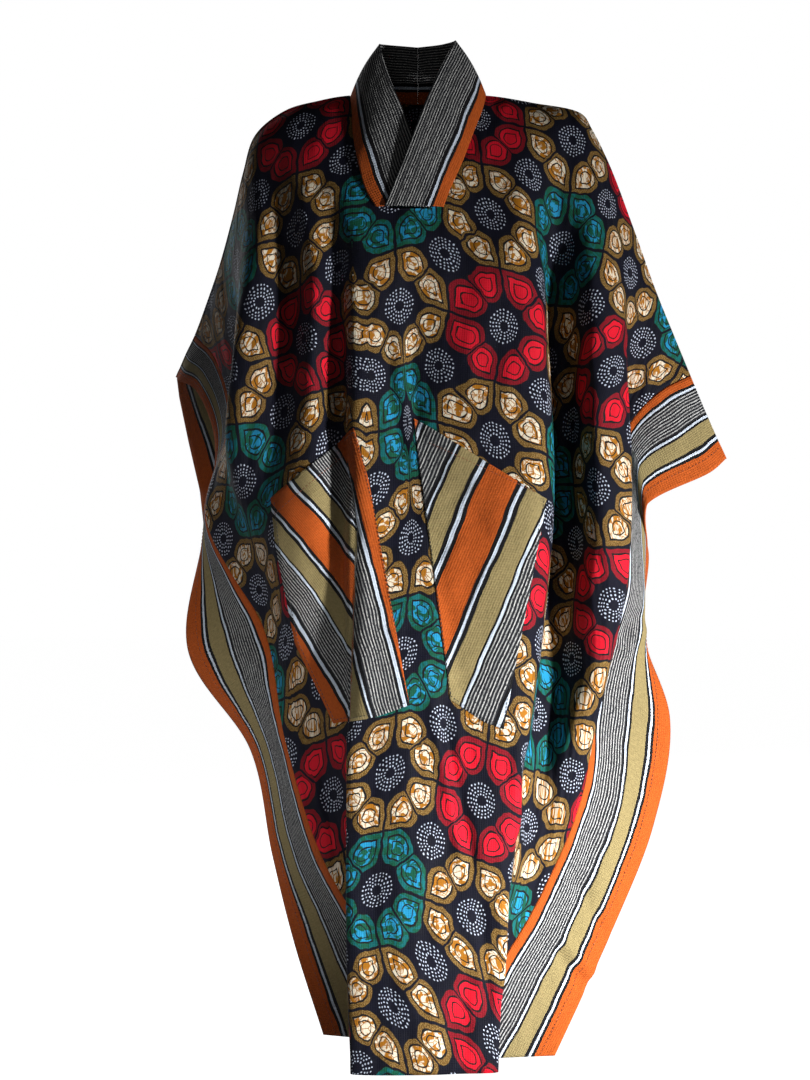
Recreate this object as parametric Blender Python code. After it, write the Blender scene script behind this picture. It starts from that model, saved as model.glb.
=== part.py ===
"""A grand boubou robe as it hangs when worn: print front and back, woven striped borders down both side
edges, a crossed striped collar and two slanting patch pockets.

Metres, +Z up, the front faces -Y and +X is the viewer's right. The origin lies between the shoulders, at the
height where the collar meets the shoulder line. Tables are in millimetres.
"""
from collections import namedtuple

import bmesh
import bpy
import numpy as np

MM = 0.001
WALL = 1.4 * MM
POCKET_WALL = 1.2 * MM
SEAM_GAP = 0.3 * MM
SEAM_PULL = 0.25 * MM
EDGE_STEP = WALL + 3 * SEAM_GAP
BORDER_WIDTH = 150 * MM
# The panel keeps at least this share of a row of the back, where the row is short
LEAST_PANEL_SHARE = 0.45

# Share of the way from the shoulder line to the hem at which each table column stands
LEVELS = (0.0, 0.04, 0.12, 0.22, 0.32, 0.45, 0.60, 0.75, 0.88, 1.0)
# Height at the centre and at both side edges, at those levels
HEIGHT_CENTRE = (0, -20, -125, -260, -400, -585, -800, -1015, -1205, -1375)
HEIGHT_LEFT_EDGE = (-394, -400, -420, -505, -640, -800, -950, -1105, -1235, -1355)
HEIGHT_RIGHT_EDGE = (-526, -545, -592, -672, -775, -905, -1060, -1205, -1300, -1385)

# One row for each fold line that runs from the shoulder line to the hem. lean is how far its height follows
# the side edge instead of the centre; x and y are its place in plan at each level.
Fold = namedtuple("Fold", "name lean x y")
FRONT_LEFT_FOLDS = (
    Fold("edge", 1.0, (-369, -363, -332, -302, -318, -338, -245, -212, -178, -136),
         (200, 180, 140, 110, 80, 40, 35, 30, 10, -30)),
    Fold("border middle", 0.92, (-352, -346, -320, -292, -316, -280, -214, -176, -118, -68),
         (170, 150, 115, 90, 60, 5, -30, -35, -30, -50)),
    Fold("border seam", 0.85, (-335, -328, -300, -277, -309, -222, -188, -136, -62, -12),
         (140, 125, 85, 55, 15, -40, -84, -88, -65, -62)),
    Fold("sleeve inner", 0.73, (-312, -306, -280, -258, -292, -216, -182, -130, -54, -6),
         (95, 80, 40, 20, -5, -52, -90, -92, -75, -78)),
    Fold("return", 0.60, (-290, -285, -264, -250, -275, -213, -176, -124, -50, -8),
         (55, 40, 0, -10, -30, -66, -94, -92, -85, -92)),
    Fold("body fold", 0.43, (-268, -266, -252, -259, -268, -214, -170, -118, -52, -18),
         (20, 5, -60, -92, -85, -80, -97, -92, -92, -104)),
    Fold("side ridge", 0.28, (-252, -250, -228, -222, -226, -212, -163, -112, -58, -34),
         (0, -15, -74, -100, -98, -98, -103, -95, -100, -116)),
    Fold("outer valley", 0.145, (-235, -232, -202, -181, -186, -200, -154, -106, -68, -52),
         (0, -20, -62, -72, -92, -114, -112, -104, -112, -130)),
    Fold("pocket ridge", 0.055, (-192, -190, -168, -146, -150, -152, -132, -96, -80, -70),
         (0, -25, -80, -120, -126, -134, -124, -122, -130, -148)),
    Fold("inner valley", 0.02, (-145, -143, -132, -114, -108, -106, -104, -94, -92, -84),
         (0, -28, -82, -108, -100, -122, -134, -146, -154, -170)),
    Fold("neck side", 0.0, (-99, -99, -94, -92, -90, -94, -96, -98, -98, -92),
         (0, -25, -85, -130, -140, -150, -160, -170, -180, -190)),
)
FRONT_CENTRE_FOLD = Fold("centre", 0.0, (0, 0, 0, 0, -10, -6, 0, 8, 10, 6),
                         (0, -25, -85, -132, -128, -146, -170, -180, -186, -196))
FRONT_RIGHT_FOLDS = (
    Fold("neck side", 0.0, (97, 97, 84, 74, 66, 66, 64, 60, 56, 55),
         (0, -25, -85, -130, -144, -154, -162, -168, -180, -188)),
    Fold("chest ridge", 0.02, (165, 162, 155, 161, 172, 178, 158, 133, 116, 107),
         (0, -30, -85, -130, -140, -150, -152, -160, -168, -178)),
    Fold("valley", 0.05, (236, 231, 200, 188, 193, 195, 178, 143, 113, 101),
         (0, -28, -62, -50, -38, -34, -46, -118, -140, -150)),
    Fold("valley floor", 0.09, (250, 246, 220, 210, 214, 216, 196, 149, 109, 90),
         (0, -27, -66, -50, -38, -34, -42, -98, -122, -130)),
    Fold("pleat ridge", 0.19, (276, 271, 250, 246, 248, 250, 206, 152, 104, 80),
         (0, -25, -80, -108, -116, -114, -50, -88, -110, -118)),
    Fold("pleat edge", 0.35, (308, 305, 292, 294, 300, 292, 224, 156, 98, 64),
         (0, -18, -64, -85, -92, -95, -84, -72, -96, -104)),
    Fold("return", 0.53, (342, 337, 300, 284, 284, 285, 236, 159, 94, 52),
         (0, -12, -34, -48, -52, -62, -80, -62, -84, -92)),
    Fold("sleeve inner", 0.66, (370, 348, 298, 282, 284, 266, 238, 163, 93, 44),
         (0, -14, -24, -28, -30, -48, -68, -55, -74, -80)),
    Fold("border seam", 0.77, (394, 356, 300, 296, 298, 256, 236, 169, 98, 46),
         (0, -16, -26, -18, -16, -34, -54, -50, -64, -68)),
    Fold("border middle", 0.885, (419, 394, 317, 322, 328, 302, 284, 228, 170, 120),
         (0, -20, -34, 0, 10, -6, -14, -18, -34, -48)),
    Fold("edge", 1.0, (446, 423, 330, 338, 330, 368, 344, 286, 240, 196),
         (0, -18, -24, 44, 52, 30, 30, 20, 0, -30)),
)

# The back's neckline is half an oval behind the shoulder line
NECK_HALF_WIDTH = 97 * MM
NECK_DEPTH = 60 * MM

# How far the back lies behind the shoulder line at each level, and where its free cuff edge hangs
BACK_DEPTH = (0, 38, 92, 112, 122, 132, 140, 150, 158, 165)
BACK_FOLD_DEPTH = (0, 0, 2, 5, 8, 12, 15, 17, 18, 19)
BACK_FOLDS = 2.5
# How flat the wave runs out at both ends of a row, and how square the back turns to its sides
BACK_FOLD_TAPER = 0.6
BACK_ROUNDNESS = 2.2
# Share of the way down over which the back leaves the form of the shoulder line
SHOULDER_EASE = 0.20
FULL_BACK_WIDTH = 300 * MM
CUFF_LEVELS = 4
Cuff = namedtuple("Cuff", "x y z")
BACK_CUFF_LEFT = Cuff((-369, -366, -352, -330), (200, 208, 204, 160), (-394, -424, -490, -570))
BACK_CUFF_RIGHT = Cuff((446, 420, 326, 330), (0, 22, 70, 92), (-526, -543, -588, -676))

# Neckline: how far down each column of the front starts, from the left neck side to the right
NECK_STARTS = (0.0, 0.110, 0.152, 0.160, 0.160, 0.160, 0.160, 0.156, 0.130, 0.080, 0.0)
NECK_STEPS = 5

# Sewn edge and free edge of each half of the collar, by section from behind the neck to the front
COLLAR_BULGE = 5 * MM
COLLAR_STEPS = 3
COLLAR_ACROSS = 6
Section = namedtuple("Section", "name sewn free")
COLLAR_RIGHT = (
    Section("behind", (0, 62, 2), (0, 66, 84)),
    Section("behind the side", (52, 50, 3), (32, 52, 85)),
    Section("side back", (84, 28, 4), (50, 26, 84)),
    Section("side", (97, -2, 3), (53, -6, 78)),
    Section("side front", (92, -34, -26), (44, -24, 60)),
    Section("upper front", (79, -58, -62), (26, -48, 20)),
    Section("lower front", (62, -88, -110), (6, -80, -32)),
    Section("crossing", (44, -105, -152), (-18, -103, -98)),
    Section("end", (35, -114, -177), (-48, -116, -176)),
)
COLLAR_LEFT = (
    Section("behind", (-1, 62, 2), (-1, 66, 84)),
    Section("behind the side", (-54, 50, 3), (-34, 52, 84)),
    Section("side back", (-85, 28, 3), (-52, 26, 80)),
    Section("side", (-97, -2, 0), (-55, -6, 72)),
    Section("side front", (-95, -34, -28), (-50, -24, 48)),
    Section("upper front", (-93, -60, -66), (-38, -48, 10)),
    Section("lower front", (-85, -89, -112), (-18, -70, -42)),
    Section("crossing", (-74, -103, -152), (0, -87, -96)),
    Section("end", (-60, -111, -176), (26, -105, -177)),
)

# Corners of each pocket seen from the front (x, z), clockwise from its inner top corner
POCKET_LEFT = ((-84, -484), (-70, -560), (12, -862), (-55, -886), (-118, -900), (-172, -790),
               (-200, -650), (-206, -585), (-104, -500))
POCKET_RIGHT = ((-8, -472), (8, -482), (181, -562), (152, -720), (117, -905), (90, -895), (43, -864))

# The fold at which each pocket's columns start, and how many columns they run past the centre
POCKET_LEFT_FOLD = 5
POCKET_RIGHT_FOLD = 3
PAST_CENTRE = 3

PRINT_COLOUR = (0.045, 0.045, 0.10)
STRIPE_COLOUR = (0.42, 0.16, 0.05)
CLOTH_ROUGHNESS = 0.85

# A curve through the levels may lead or trail its own rise by this much, and never by less than 2 mm
SLOPE_LIMIT = 2.5
SLOPE_FREE = 2.0
# Rows of the cloth crowd towards the shoulder by this power
ROW_CROWDING = 1.25
DENSE_ROWS = 240
DENSE_COLUMNS = 4
BACK_SAMPLES = 60


def spline(points, steps):
    """Centripetal Catmull-Rom curve through points (n, ..., 3); steps samples for each of the n-1 spans."""
    points = np.asarray(points, float)
    first = 2 * points[0] - points[1]
    last = 2 * points[-1] - points[-2]
    padded = np.concatenate([[first], points, [last]])
    out = []
    for i in range(len(points) - 1):
        p0, p1, p2, p3 = padded[i:i + 4]
        knots = [0.0]
        for a, b in ((p0, p1), (p1, p2), (p2, p3)):
            knots.append(knots[-1] + max(np.linalg.norm(b - a), 1e-6) ** 0.5)
        t0, t1, t2, t3 = knots
        count = steps if isinstance(steps, int) else steps[i]
        for share in np.arange(count) / count:
            t = t1 + (t2 - t1) * share
            a1 = ((t1 - t) * p0 + (t - t0) * p1) / (t1 - t0)
            a2 = ((t2 - t) * p1 + (t - t1) * p2) / (t2 - t1)
            a3 = ((t3 - t) * p2 + (t - t2) * p3) / (t3 - t2)
            b1 = ((t2 - t) * a1 + (t - t0) * a2) / (t2 - t0)
            b2 = ((t3 - t) * a2 + (t - t1) * a3) / (t3 - t1)
            out.append(((t2 - t) * b1 + (t - t1) * b2) / (t2 - t1))
    out.append(points[-1])
    return np.array(out)


def along_levels(values, shares):
    """Smooth value at each share of the way down, from one value for each of LEVELS."""
    levels = np.array(LEVELS)
    values = np.asarray(values, float)
    slopes = np.gradient(values, levels)
    shares = np.clip(shares, 0.0, 1.0)
    index = np.clip(np.searchsorted(levels, shares, side="right") - 1, 0, len(levels) - 2)
    width = levels[index + 1] - levels[index]
    t = (shares - levels[index]) / width
    rise = values[index + 1] - values[index]
    limit = SLOPE_LIMIT * np.abs(rise) + SLOPE_FREE
    start = np.clip(slopes[index] * width, -limit, limit)
    end = np.clip(slopes[index + 1] * width, -limit, limit)
    return (values[index] + start * t + (3 * rise - 2 * start - end) * t ** 2
            + (start + end - 2 * rise) * t ** 3)


def fold_point(fold, share):
    """Point in metres on a fold line at a share of the way down."""
    edge = HEIGHT_LEFT_EDGE if fold.x[0] < 0 else HEIGHT_RIGHT_EDGE
    centre = along_levels(HEIGHT_CENTRE, share)
    side = along_levels(edge, share)
    z = centre + fold.lean * (side - centre)
    return np.array([along_levels(fold.x, share), along_levels(fold.y, share), z]) * MM


FRONT_FOLDS = FRONT_LEFT_FOLDS + (FRONT_CENTRE_FOLD,) + FRONT_RIGHT_FOLDS
CENTRE_INDEX = len(FRONT_LEFT_FOLDS)
LEFT_SEAM = 2
RIGHT_SEAM = len(FRONT_FOLDS) - 3
COLUMN_STEPS = [2] * (len(FRONT_FOLDS) - 1)
COLUMN_STEPS[CENTRE_INDEX - 1] = NECK_STEPS
COLUMN_STEPS[CENTRE_INDEX] = NECK_STEPS
FRONT_ROWS = 34
BACK_ROWS = 24
BACK_COLUMNS = 15
BORDER_COLUMNS = 3


def front_row(share):
    """Points of the front from the left edge to the right edge, one share of the way down.

    Each column stands halfway between its fold line and an even share of the cloth between two anchors,
    which are the edges, the border seams and the neck sides.
    """
    dense = spline([fold_point(fold, share) for fold in FRONT_FOLDS],
                   [steps * DENSE_COLUMNS for steps in COLUMN_STEPS])
    length = np.concatenate([[0], np.cumsum(np.linalg.norm(np.diff(dense, axis=0), axis=1))])
    by_fold = length[::DENSE_COLUMNS]
    anchors = [sum(COLUMN_STEPS[:index]) for index in
               (0, LEFT_SEAM, CENTRE_INDEX - 1, CENTRE_INDEX + 1, RIGHT_SEAM, len(FRONT_FOLDS) - 1)]
    even = np.interp(np.arange(len(by_fold)), anchors, by_fold[anchors])
    stations = (by_fold + even) / 2
    return np.array([np.interp(stations, length, dense[:, axis]) for axis in range(3)]).T


def column_start(column):
    """Share of the way down at which a column of the front starts, for the neckline."""
    offset = column - sum(COLUMN_STEPS[:CENTRE_INDEX - 1])
    return NECK_STARTS[offset] if 0 <= offset < len(NECK_STARTS) else 0.0


def front_grid():
    """Middle of the front's wall as rows of points; rows crowd towards the shoulder."""
    dense_shares = np.linspace(0, 1, DENSE_ROWS + 1)
    dense = np.array([front_row(share) for share in dense_shares])
    spacing = np.linspace(0, 1, FRONT_ROWS + 1) ** ROW_CROWDING
    grid = np.empty((FRONT_ROWS + 1, dense.shape[1], 3))
    for column in range(dense.shape[1]):
        start = column_start(column)
        shares = start + (1 - start) * spacing
        for axis in range(3):
            grid[:, column, axis] = np.interp(shares, dense_shares, dense[:, column, axis])
    return grid


def normals_of(grid):
    """Unit normals of a grid of points, across its rows and columns."""
    across = np.gradient(grid, axis=1)
    down = np.gradient(grid, axis=0)
    normal = np.cross(across, down)
    return normal / np.maximum(np.linalg.norm(normal, axis=2, keepdims=True), 1e-9)


def joined_edge(side, share):
    """Where the back's edge lies: one layer behind the front's edge, square to the front's border."""
    edge, middle = (FRONT_FOLDS[0], FRONT_FOLDS[1]) if side < 0 else (FRONT_FOLDS[-1], FRONT_FOLDS[-2])
    outer = fold_point(edge, share)
    along = outer - fold_point(middle, share)
    behind = np.array([-along[1], along[0], 0.0])
    behind *= np.sign(behind[1]) / np.linalg.norm(behind)
    return outer + behind * EDGE_STEP


def back_edge(side, share):
    """Outer edge of the back: free at the cuff, then just behind the front's edge."""
    cuff = BACK_CUFF_LEFT if side < 0 else BACK_CUFF_RIGHT
    last = LEVELS[CUFF_LEVELS]
    if share >= last:
        return joined_edge(side, share)
    stations = list(LEVELS[:CUFF_LEVELS]) + [last]
    end = joined_edge(side, last)
    return np.array([np.interp(share, stations, list(np.array(values) * MM) + [end[axis]])
                     for axis, values in enumerate(cuff)])


def back_row(side, share):
    """Half a row of the back, from the centre to the side edge, before it is shared out by length."""
    edge = back_edge(side, share)
    ridge = front_row(0.0)
    middle = sum(COLUMN_STEPS[:CENTRE_INDEX])
    ridge = ridge[middle::-1] if side < 0 else ridge[middle:]
    ridge_length = np.concatenate([[0], np.cumsum(np.linalg.norm(np.diff(ridge, axis=0), axis=1))])
    shares = np.linspace(0, 1, BACK_SAMPLES + 1)
    ridge_even = np.array([np.interp(shares, ridge_length / ridge_length[-1], ridge[:, axis])
                           for axis in range(3)]).T
    lean = ridge_even[:, 2] / ridge_even[-1, 2]
    depth = along_levels(BACK_DEPTH, share) * MM
    wave = along_levels(BACK_FOLD_DEPTH, share) * MM * min(abs(edge[0]) / FULL_BACK_WIDTH, 1.0)
    centre_height = along_levels(HEIGHT_CENTRE, share) * MM
    round_y = depth + (edge[1] - depth) * shares ** BACK_ROUNDNESS
    round_y += (wave * np.sin(2 * np.pi * BACK_FOLDS * shares + side)
                * np.sin(np.pi * shares) ** BACK_FOLD_TAPER)
    round_z = centre_height + lean * (edge[2] - centre_height)
    hung = np.stack([edge[0] * shares, round_y, round_z], axis=1)
    ease = np.clip(share / SHOULDER_EASE, 0, 1)
    ease = ease * ease * (3 - 2 * ease)
    hollow = NECK_DEPTH * np.sqrt(np.clip(1 - (ridge_even[:, 0] / NECK_HALF_WIDTH) ** 2, 0, 1))
    rest_of_depth = depth * (1 - hollow / (BACK_DEPTH[3] * MM)) * (1 - shares)
    near = ridge_even + np.stack([0 * shares, hollow + rest_of_depth
                                  + (edge[1] - ridge_even[-1, 1]) * shares,
                                  round_z - ridge_even[:, 2]], axis=1)
    near[:, 0] += (edge[0] - ridge_even[-1, 0]) * shares
    return near * (1 - ease) + hung * ease


def share_by_length(points, inner_count, outer_count, outer_width):
    """Even points along a line: inner_count spans, then outer_count spans over its last outer_width."""
    length = np.concatenate([[0], np.cumsum(np.linalg.norm(np.diff(points, axis=0), axis=1))])
    seam = max(length[-1] - outer_width, LEAST_PANEL_SHARE * length[-1])
    stations = np.concatenate([np.linspace(0, seam, inner_count + 1),
                               np.linspace(seam, length[-1], outer_count + 1)[1:]])
    return np.array([np.interp(stations, length, points[:, axis]) for axis in range(3)]).T


def back_grid():
    """Middle of the back's wall from the left edge to the right edge, in rows down."""
    spacing = np.linspace(0, 1, BACK_ROWS + 1) ** ROW_CROWDING
    grid = []
    for share in spacing:
        left = share_by_length(back_row(-1, share), BACK_COLUMNS, BORDER_COLUMNS, BORDER_WIDTH)
        right = share_by_length(back_row(1, share), BACK_COLUMNS, BORDER_COLUMNS, BORDER_WIDTH)
        grid.append(np.concatenate([left[::-1], right[1:]]))
    return np.array(grid)


def cloth_material(name, colour):
    material = bpy.data.materials.new(name)
    material.use_nodes = True
    shader = material.node_tree.nodes["Principled BSDF"]
    shader.inputs["Base Color"].default_value = (*colour, 1.0)
    shader.inputs["Roughness"].default_value = CLOTH_ROUGHNESS
    shader.inputs["Metallic"].default_value = 0.0
    return material


def add_object(name, mesh, material):
    for polygon in mesh.polygons:
        polygon.use_smooth = True
    mesh.materials.append(material)
    part = bpy.data.objects.new(name, mesh)
    bpy.context.collection.objects.link(part)
    return part


def wall_from_grid(name, middle, normals, thickness, material):
    """Closed wall round a grid of middle points, half its thickness to each side."""
    rows, columns = middle.shape[:2]
    outer = middle + normals * thickness / 2
    inner = middle - normals * thickness / 2
    points = np.concatenate([outer.reshape(-1, 3), inner.reshape(-1, 3)])
    layer = rows * columns

    def at(row, column, inside):
        return row * columns + column + (layer if inside else 0)

    faces = []
    for row in range(rows - 1):
        for column in range(columns - 1):
            corners = ((row, column), (row, column + 1), (row + 1, column + 1), (row + 1, column))
            a, b, c, d = (at(*corner, False) for corner in corners)
            faces += [(a, c, b), (a, d, c)]
            a, b, c, d = (at(*corner, True) for corner in corners)
            faces += [(a, b, c), (a, c, d)]
    rim = ([(0, column) for column in range(columns)] + [(row, columns - 1) for row in range(1, rows)]
           + [(rows - 1, column) for column in range(columns - 2, -1, -1)]
           + [(row, 0) for row in range(rows - 2, 0, -1)])
    for here, there in zip(rim, rim[1:] + rim[:1]):
        faces.append((at(*here, False), at(*there, False), at(*there, True), at(*here, True)))
    mesh = bpy.data.meshes.new(name)
    mesh.from_pydata([tuple(point) for point in points], [], faces)
    facing = bmesh.new()
    facing.from_mesh(mesh)
    bmesh.ops.recalc_face_normals(facing, faces=facing.faces)
    facing.to_mesh(mesh)
    facing.free()
    return add_object(name, mesh, material)


def pull_back(grid, side, distance):
    """Move a grid's first or last column inward by a distance, to leave the gap at a seam."""
    grid = grid.copy()
    here, inward = (0, 1) if side == "first" else (-1, -2)
    step = grid[:, inward] - grid[:, here]
    grid[:, here] += step / np.linalg.norm(step, axis=1, keepdims=True) * distance
    return grid


def part_top(grid, normals, towards):
    """Move a grid's first row to its own side of the shoulder line, further where its wall stands upright."""
    grid = grid.copy()
    sideways = normals[0].copy()
    sideways[:, 2] = 0
    grid[0] += sideways * (WALL / 2 + SEAM_GAP)
    grid[0, :, 1] += towards * SEAM_GAP
    return grid


def clipped_layer(grid, normals, corners, columns, start, end):
    """Wall over the part of a grid inside the corners seen from the front, moved out from its points."""
    cut = bmesh.new()
    layer = cut.verts.layers.float_vector.new("outward")
    made = {}
    for row in range(grid.shape[0]):
        for column in columns:
            vert = cut.verts.new(grid[row, column])
            vert[layer] = normals[row, column]
            made[row, column] = vert
    for row in range(grid.shape[0] - 1):
        for column in columns[:-1]:
            a = made[row, column]
            b = made[row, column + 1]
            c = made[row + 1, column + 1]
            d = made[row + 1, column]
            cut.faces.new((a, c, b))
            cut.faces.new((a, d, c))
    middle = np.mean(corners, axis=0)
    for here, there in zip(corners, corners[1:] + corners[:1]):
        along = np.array(there, float) - np.array(here, float)
        outward = np.array([along[1], -along[0]])
        if np.dot(outward, middle - np.array(here)) > 0:
            outward = -outward
        geometry = cut.verts[:] + cut.edges[:] + cut.faces[:]
        bmesh.ops.bisect_plane(cut, geom=geometry, dist=1e-6, plane_co=(here[0] * MM, 0, here[1] * MM),
                               plane_no=(outward[0], 0, outward[1]), clear_outer=True)
    cut.verts.index_update()
    near = [np.array(vert.co) + np.array(vert[layer]) * start for vert in cut.verts]
    far = [np.array(vert.co) + np.array(vert[layer]) * end for vert in cut.verts]
    count = len(near)
    faces = []
    for face in cut.faces:
        ring = [vert.index for vert in face.verts]
        faces.append([index + count for index in ring])
        faces.append(ring[::-1])
    for edge in cut.edges:
        if len(edge.link_faces) == 1:
            ring = [vert.index for vert in edge.link_faces[0].verts]
            a, b = (vert.index for vert in edge.verts)
            if ring[(ring.index(a) + 1) % len(ring)] != b:
                a, b = b, a
            faces.append([a, b, b + count, a + count])
    cut.free()
    return near + far, faces


def build_front(front, normals):
    seam_left = sum(COLUMN_STEPS[:LEFT_SEAM])
    seam_right = sum(COLUMN_STEPS[:RIGHT_SEAM])
    cloth = cloth_material("print cotton, front", PRINT_COLOUR)
    parts = (("front_border_left", slice(0, seam_left + 1), ("last",)),
             ("front_panel", slice(seam_left, seam_right + 1), ("first", "last")),
             ("front_border_right", slice(seam_right, front.shape[1]), ("first",)))
    for name, columns, seams in parts:
        grid = part_top(front[:, columns], normals[:, columns], -1)
        for seam in seams:
            grid = pull_back(grid, seam, SEAM_PULL)
        material = cloth if name == "front_panel" else cloth_material("woven stripe, " + name, STRIPE_COLOUR)
        wall_from_grid(name, grid, normals[:, columns], WALL, material)


def build_back(back, normals):
    last = back.shape[1] - 1
    parts = (("back_border_left", slice(0, BORDER_COLUMNS + 1), ("last",)),
             ("back_panel", slice(BORDER_COLUMNS, last - BORDER_COLUMNS + 1), ("first", "last")),
             ("back_border_right", slice(last - BORDER_COLUMNS, last + 1), ("first",)))
    for name, columns, seams in parts:
        grid = part_top(back[:, columns], normals[:, columns], 1)
        for seam in seams:
            grid = pull_back(grid, seam, SEAM_PULL)
        colour = PRINT_COLOUR if name == "back_panel" else STRIPE_COLOUR
        wall_from_grid(name, grid, normals[:, columns], WALL, cloth_material("cloth, " + name, colour))


def collar_grid(sections):
    """Middle of one half of the collar, bulging away from the neck, and its outward normals.

    Its first row stands upright behind the neck, where the two halves meet.
    """
    sewn = spline([np.array(section.sewn) * MM for section in sections], COLLAR_STEPS)
    free = spline([np.array(section.free) * MM for section in sections], COLLAR_STEPS)
    shares = np.linspace(0, 1, COLLAR_ACROSS + 1)[None, :, None]
    grid = sewn[:, None, :] * (1 - shares) + free[:, None, :] * shares
    normals = normals_of(grid)
    normals *= np.sign(np.sum(normals * grid * (1, 1, 0)))
    grid = grid + normals * COLLAR_BULGE * np.sin(np.pi * shares)
    grid[0, :, 0] = np.sign(sections[1].sewn[0]) * SEAM_GAP / 2
    normals[0, :, 0] = 0
    normals[0] /= np.linalg.norm(normals[0], axis=1, keepdims=True)
    return grid, normals


def build_collar():
    for name, sections in (("collar_left", COLLAR_LEFT), ("collar_right", COLLAR_RIGHT)):
        grid, normals = collar_grid(sections)
        wall_from_grid(name, grid, normals, WALL, cloth_material("woven stripe, " + name, STRIPE_COLOUR))


def build_pockets(front, normals):
    start = WALL / 2 + SEAM_GAP
    first_left = sum(COLUMN_STEPS[:POCKET_LEFT_FOLD])
    centre = sum(COLUMN_STEPS[:CENTRE_INDEX])
    last_right = sum(COLUMN_STEPS[:CENTRE_INDEX + POCKET_RIGHT_FOLD])
    pockets = (("pocket_left", POCKET_LEFT, range(first_left, centre + PAST_CENTRE)),
               ("pocket_right", POCKET_RIGHT, range(centre - PAST_CENTRE, last_right + 1)))
    for name, corners, columns in pockets:
        points, faces = clipped_layer(front, normals, corners, list(columns), start, start + POCKET_WALL)
        mesh = bpy.data.meshes.new(name)
        mesh.from_pydata([tuple(point) for point in points], [], faces)
        add_object(name, mesh, cloth_material("woven stripe, " + name, STRIPE_COLOUR))


def main():
    for old in list(bpy.data.objects):
        bpy.data.objects.remove(old, do_unlink=True)
    front = front_grid()
    front_normals = -normals_of(front)
    back = back_grid()
    back_normals = normals_of(back)
    build_front(front, front_normals)
    build_back(back, back_normals)
    build_collar()
    build_pockets(front, front_normals)


main()
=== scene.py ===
"""Grand boubou robe in cloth, sewn and printed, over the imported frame.

The tables are in millimetres. +Z is up, the front faces -Y, and left is the left of the photograph.
"""
import math
from collections import namedtuple
from functools import lru_cache, partial

import bmesh
import bpy
import numpy as np
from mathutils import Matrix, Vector
from mathutils.bvhtree import BVHTree


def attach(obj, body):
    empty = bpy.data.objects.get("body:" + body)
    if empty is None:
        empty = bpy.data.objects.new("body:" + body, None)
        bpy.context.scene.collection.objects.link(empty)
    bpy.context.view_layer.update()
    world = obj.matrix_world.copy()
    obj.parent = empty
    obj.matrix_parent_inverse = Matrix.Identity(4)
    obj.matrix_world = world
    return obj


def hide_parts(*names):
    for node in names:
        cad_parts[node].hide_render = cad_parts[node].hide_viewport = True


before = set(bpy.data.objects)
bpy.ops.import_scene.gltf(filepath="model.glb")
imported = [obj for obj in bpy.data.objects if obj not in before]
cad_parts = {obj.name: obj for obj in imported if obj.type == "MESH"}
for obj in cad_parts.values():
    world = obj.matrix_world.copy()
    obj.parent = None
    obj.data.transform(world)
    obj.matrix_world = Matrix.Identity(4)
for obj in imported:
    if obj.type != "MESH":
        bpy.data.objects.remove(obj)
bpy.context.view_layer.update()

bl_info = {
    "name": "Grand boubou robe",
    "version": (1, 0, 0),
    "blender": (4, 5, 0),
    "location": "3D View > Sidebar > Boubou",
    "description": "Builds a wax print robe with woven striped borders, collar and patch pockets",
    "category": "Object",
}

MM = 0.001
WALL = 1.4 * MM
POCKET_WALL = 1.2 * MM
SEAM_GAP = 0.3 * MM
SEAM_PULL = 0.25 * MM
EDGE_STEP = WALL + 3 * SEAM_GAP
BORDER_WIDTH = 150 * MM


# Share of the way from the shoulder line to the hem at which each table column stands
LEVELS = (0.0, 0.04, 0.12, 0.22, 0.32, 0.45, 0.60, 0.75, 0.88, 1.0)
# Height at the centre and at both side edges, at those levels
HEIGHT_CENTRE = (0, -20, -125, -260, -400, -585, -800, -1015, -1205, -1375)
HEIGHT_LEFT_EDGE = (-394, -400, -420, -505, -640, -800, -950, -1105, -1235, -1355)
HEIGHT_RIGHT_EDGE = (-526, -545, -592, -672, -775, -905, -1060, -1205, -1300, -1385)

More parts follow.
